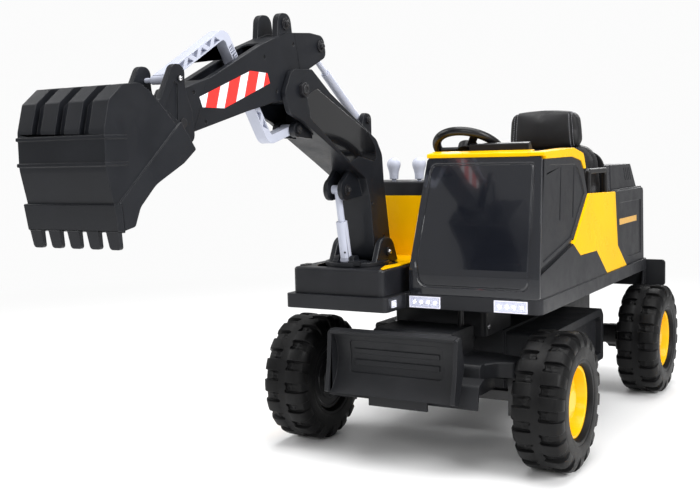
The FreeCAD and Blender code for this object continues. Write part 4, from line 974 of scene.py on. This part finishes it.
make_heads("boom_pivot_caps", "boom", "pin_steel", across_arm(-361, 412, 60.3, 5.0, DOME_CAP),
           MATERIALS["screw_steel"])
make_heads("bucket_bolts", "bucket_body", "pin_steel", across_arm(-991, 735, 40.5, 3.8, PAN_SCREW),
           MATERIALS["screw_steel"])
make_heads("barrel_screw", "lift_barrel_body", "pin_steel",
           [(spot(-137, -450, 417), (0.42, -0.9, -0.18), 2.0, PAN_SCREW)], MATERIALS["gearcase_plastic"])


# ---------------------------------------------------------------- wheel backs


RIDGES = [  # (height out of the wheel's inner face, radius)
    (0.2, 11), (-1.6, 12), (-2.2, 16), (-2.2, 24), (-0.6, 26), (-0.6, 40), (-2.0, 42), (-2.0, 46), (-0.6, 48),
    (-0.6, 61), (-1.8, 63), (-1.8, 68.4), (0.2, 69.9), (1.0, 60), (1.0, 16)]


def make_wheel_back(end, side):
    """The black ribbed cover on the inner face of a wheel, bored for its axle."""
    low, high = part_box(f"rim_{end}_{side}")
    centre = (low + high) / 2
    out = 1 if side == "left" else -1
    centre.x = low.x if out > 0 else high.x
    name = f"wheel_back_{end}_{side}"
    ring = bored_ring(centre, [(out * along, radius) for along, radius in RIDGES], 72)
    new_piece(name, to_mesh(name, ring, 30), "control_black", f"wheel_{end}_{side}")


for end in ("front", "rear"):
    for side in ("left", "right"):
        make_wheel_back(end, side)


# ---------------------------------------------------------------- stage


BACKDROP = 0.97  # the surround's strength to the camera
AMBIENT = 0.36  # and as a light source
FLOOR_HALF = 30.0
CAMERA_AT = (0.88359, -1.83674, 0.61338)
CAMERA_TURN = (30.07, 5.19, 1.34)  # azimuth, downward tilt and roll, in degrees
CAMERA_LENS = 51.5


LOOK_AT = Vector((0, 0, 0.4))


def area_light(name, location, size, power):
    """A large soft light that points at the vehicle."""
    data = bpy.data.lights.new(name, "AREA")
    data.shape = "RECTANGLE"
    data.size, data.size_y = size
    data.energy = power
    lamp = bpy.data.objects.new(name, data)
    bpy.context.scene.collection.objects.link(lamp)
    lamp.location = location
    lamp.rotation_euler = (LOOK_AT - Vector(location)).to_track_quat("-Z", "Y").to_euler()


def seen_or_lit(t):
    """The surround's strength: bright to the camera, dimmer as a light source."""
    path = t.add("ShaderNodeLightPath")
    return t.ramp(path.outputs["Is Camera Ray"], 0.0, 1.0, AMBIENT, BACKDROP)


def make_floor():
    """A pale matt floor that fades into the surround."""
    t = Tree("floor")
    t.set(Base_Color=t.mix(t.ramp(t.noise(0.8, 3.0), 0.3, 0.7), (0.90, 0.90, 0.90), (0.93, 0.93, 0.93)),
          Roughness=0.8)
    far = t.add("ShaderNodeVectorMath", operation="LENGTH")
    t.link(t.coords, far.inputs[0])
    surround = t.add("ShaderNodeEmission")
    t.link(seen_or_lit(t), surround.inputs["Strength"])
    blend = t.add("ShaderNodeMixShader")
    t.put(blend.inputs[0], t.ramp(far.outputs["Value"], 1.1, 3.4))
    t.link(t.bsdf.outputs[0], blend.inputs[1])
    t.link(surround.outputs[0], blend.inputs[2])
    t.link(blend.outputs[0], t.out.inputs[0])
    mesh = bpy.data.meshes.new("floor")
    corners = [(x * FLOOR_HALF, y * FLOOR_HALF, 0) for x, y in ((-1, -1), (1, -1), (1, 1), (-1, 1))]
    mesh.from_pydata(corners, [], [(0, 1, 2, 3)])
    mesh.materials.append(t.mat)
    floor = bpy.data.objects.new("floor", mesh)
    bpy.context.scene.collection.objects.link(floor)


def make_camera():
    """The camera stands off the front left corner, a little above the seat."""
    data = bpy.data.cameras.new("camera")
    data.lens = CAMERA_LENS
    data.sensor_width = 36.0
    data.clip_end = 100.0
    camera = bpy.data.objects.new("camera", data)
    bpy.context.scene.collection.objects.link(camera)
    azimuth, tilt, roll = (math.radians(a) for a in CAMERA_TURN)
    turn = Matrix.Rotation(azimuth, 4, "Z") @ Matrix.Rotation(math.pi / 2 - tilt, 4, "X")
    turn = turn @ Matrix.Rotation(-roll, 4, "Z")
    camera.matrix_world = Matrix.Translation(CAMERA_AT) @ turn
    bpy.context.scene.camera = camera


def light_studio():
    """A white surround, a large key on the vehicle's left, a top light and weak fills."""
    world = bpy.data.worlds.new("studio")
    bpy.context.scene.world = world
    world.use_nodes = True
    tree = world.node_tree
    background = tree.nodes["Background"]
    background.inputs[0].default_value = (1.0, 1.0, 1.0, 1)
    path = tree.nodes.new("ShaderNodeLightPath")
    strength = tree.nodes.new("ShaderNodeMapRange")
    strength.inputs["To Min"].default_value = AMBIENT
    strength.inputs["To Max"].default_value = BACKDROP
    tree.links.new(path.outputs["Is Camera Ray"], strength.inputs["Value"])
    tree.links.new(strength.outputs["Result"], background.inputs[1])
    area_light("key", (3.0, -0.9, 2.3), (1.6, 2.0), 110)
    area_light("front_fill", (0.4, -3.4, 1.9), (1.8, 1.2), 34)
    area_light("right_fill", (-3.0, -0.6, 1.8), (1.6, 2.0), 34)
    area_light("back_fill", (-0.6, 3.4, 2.0), (2.0, 1.4), 34)
    area_light("top", (0, 0, 3.4), (2.6, 2.6), 100)


make_floor()
make_camera()
light_studio()
bpy.context.scene.view_settings.view_transform = "Standard"
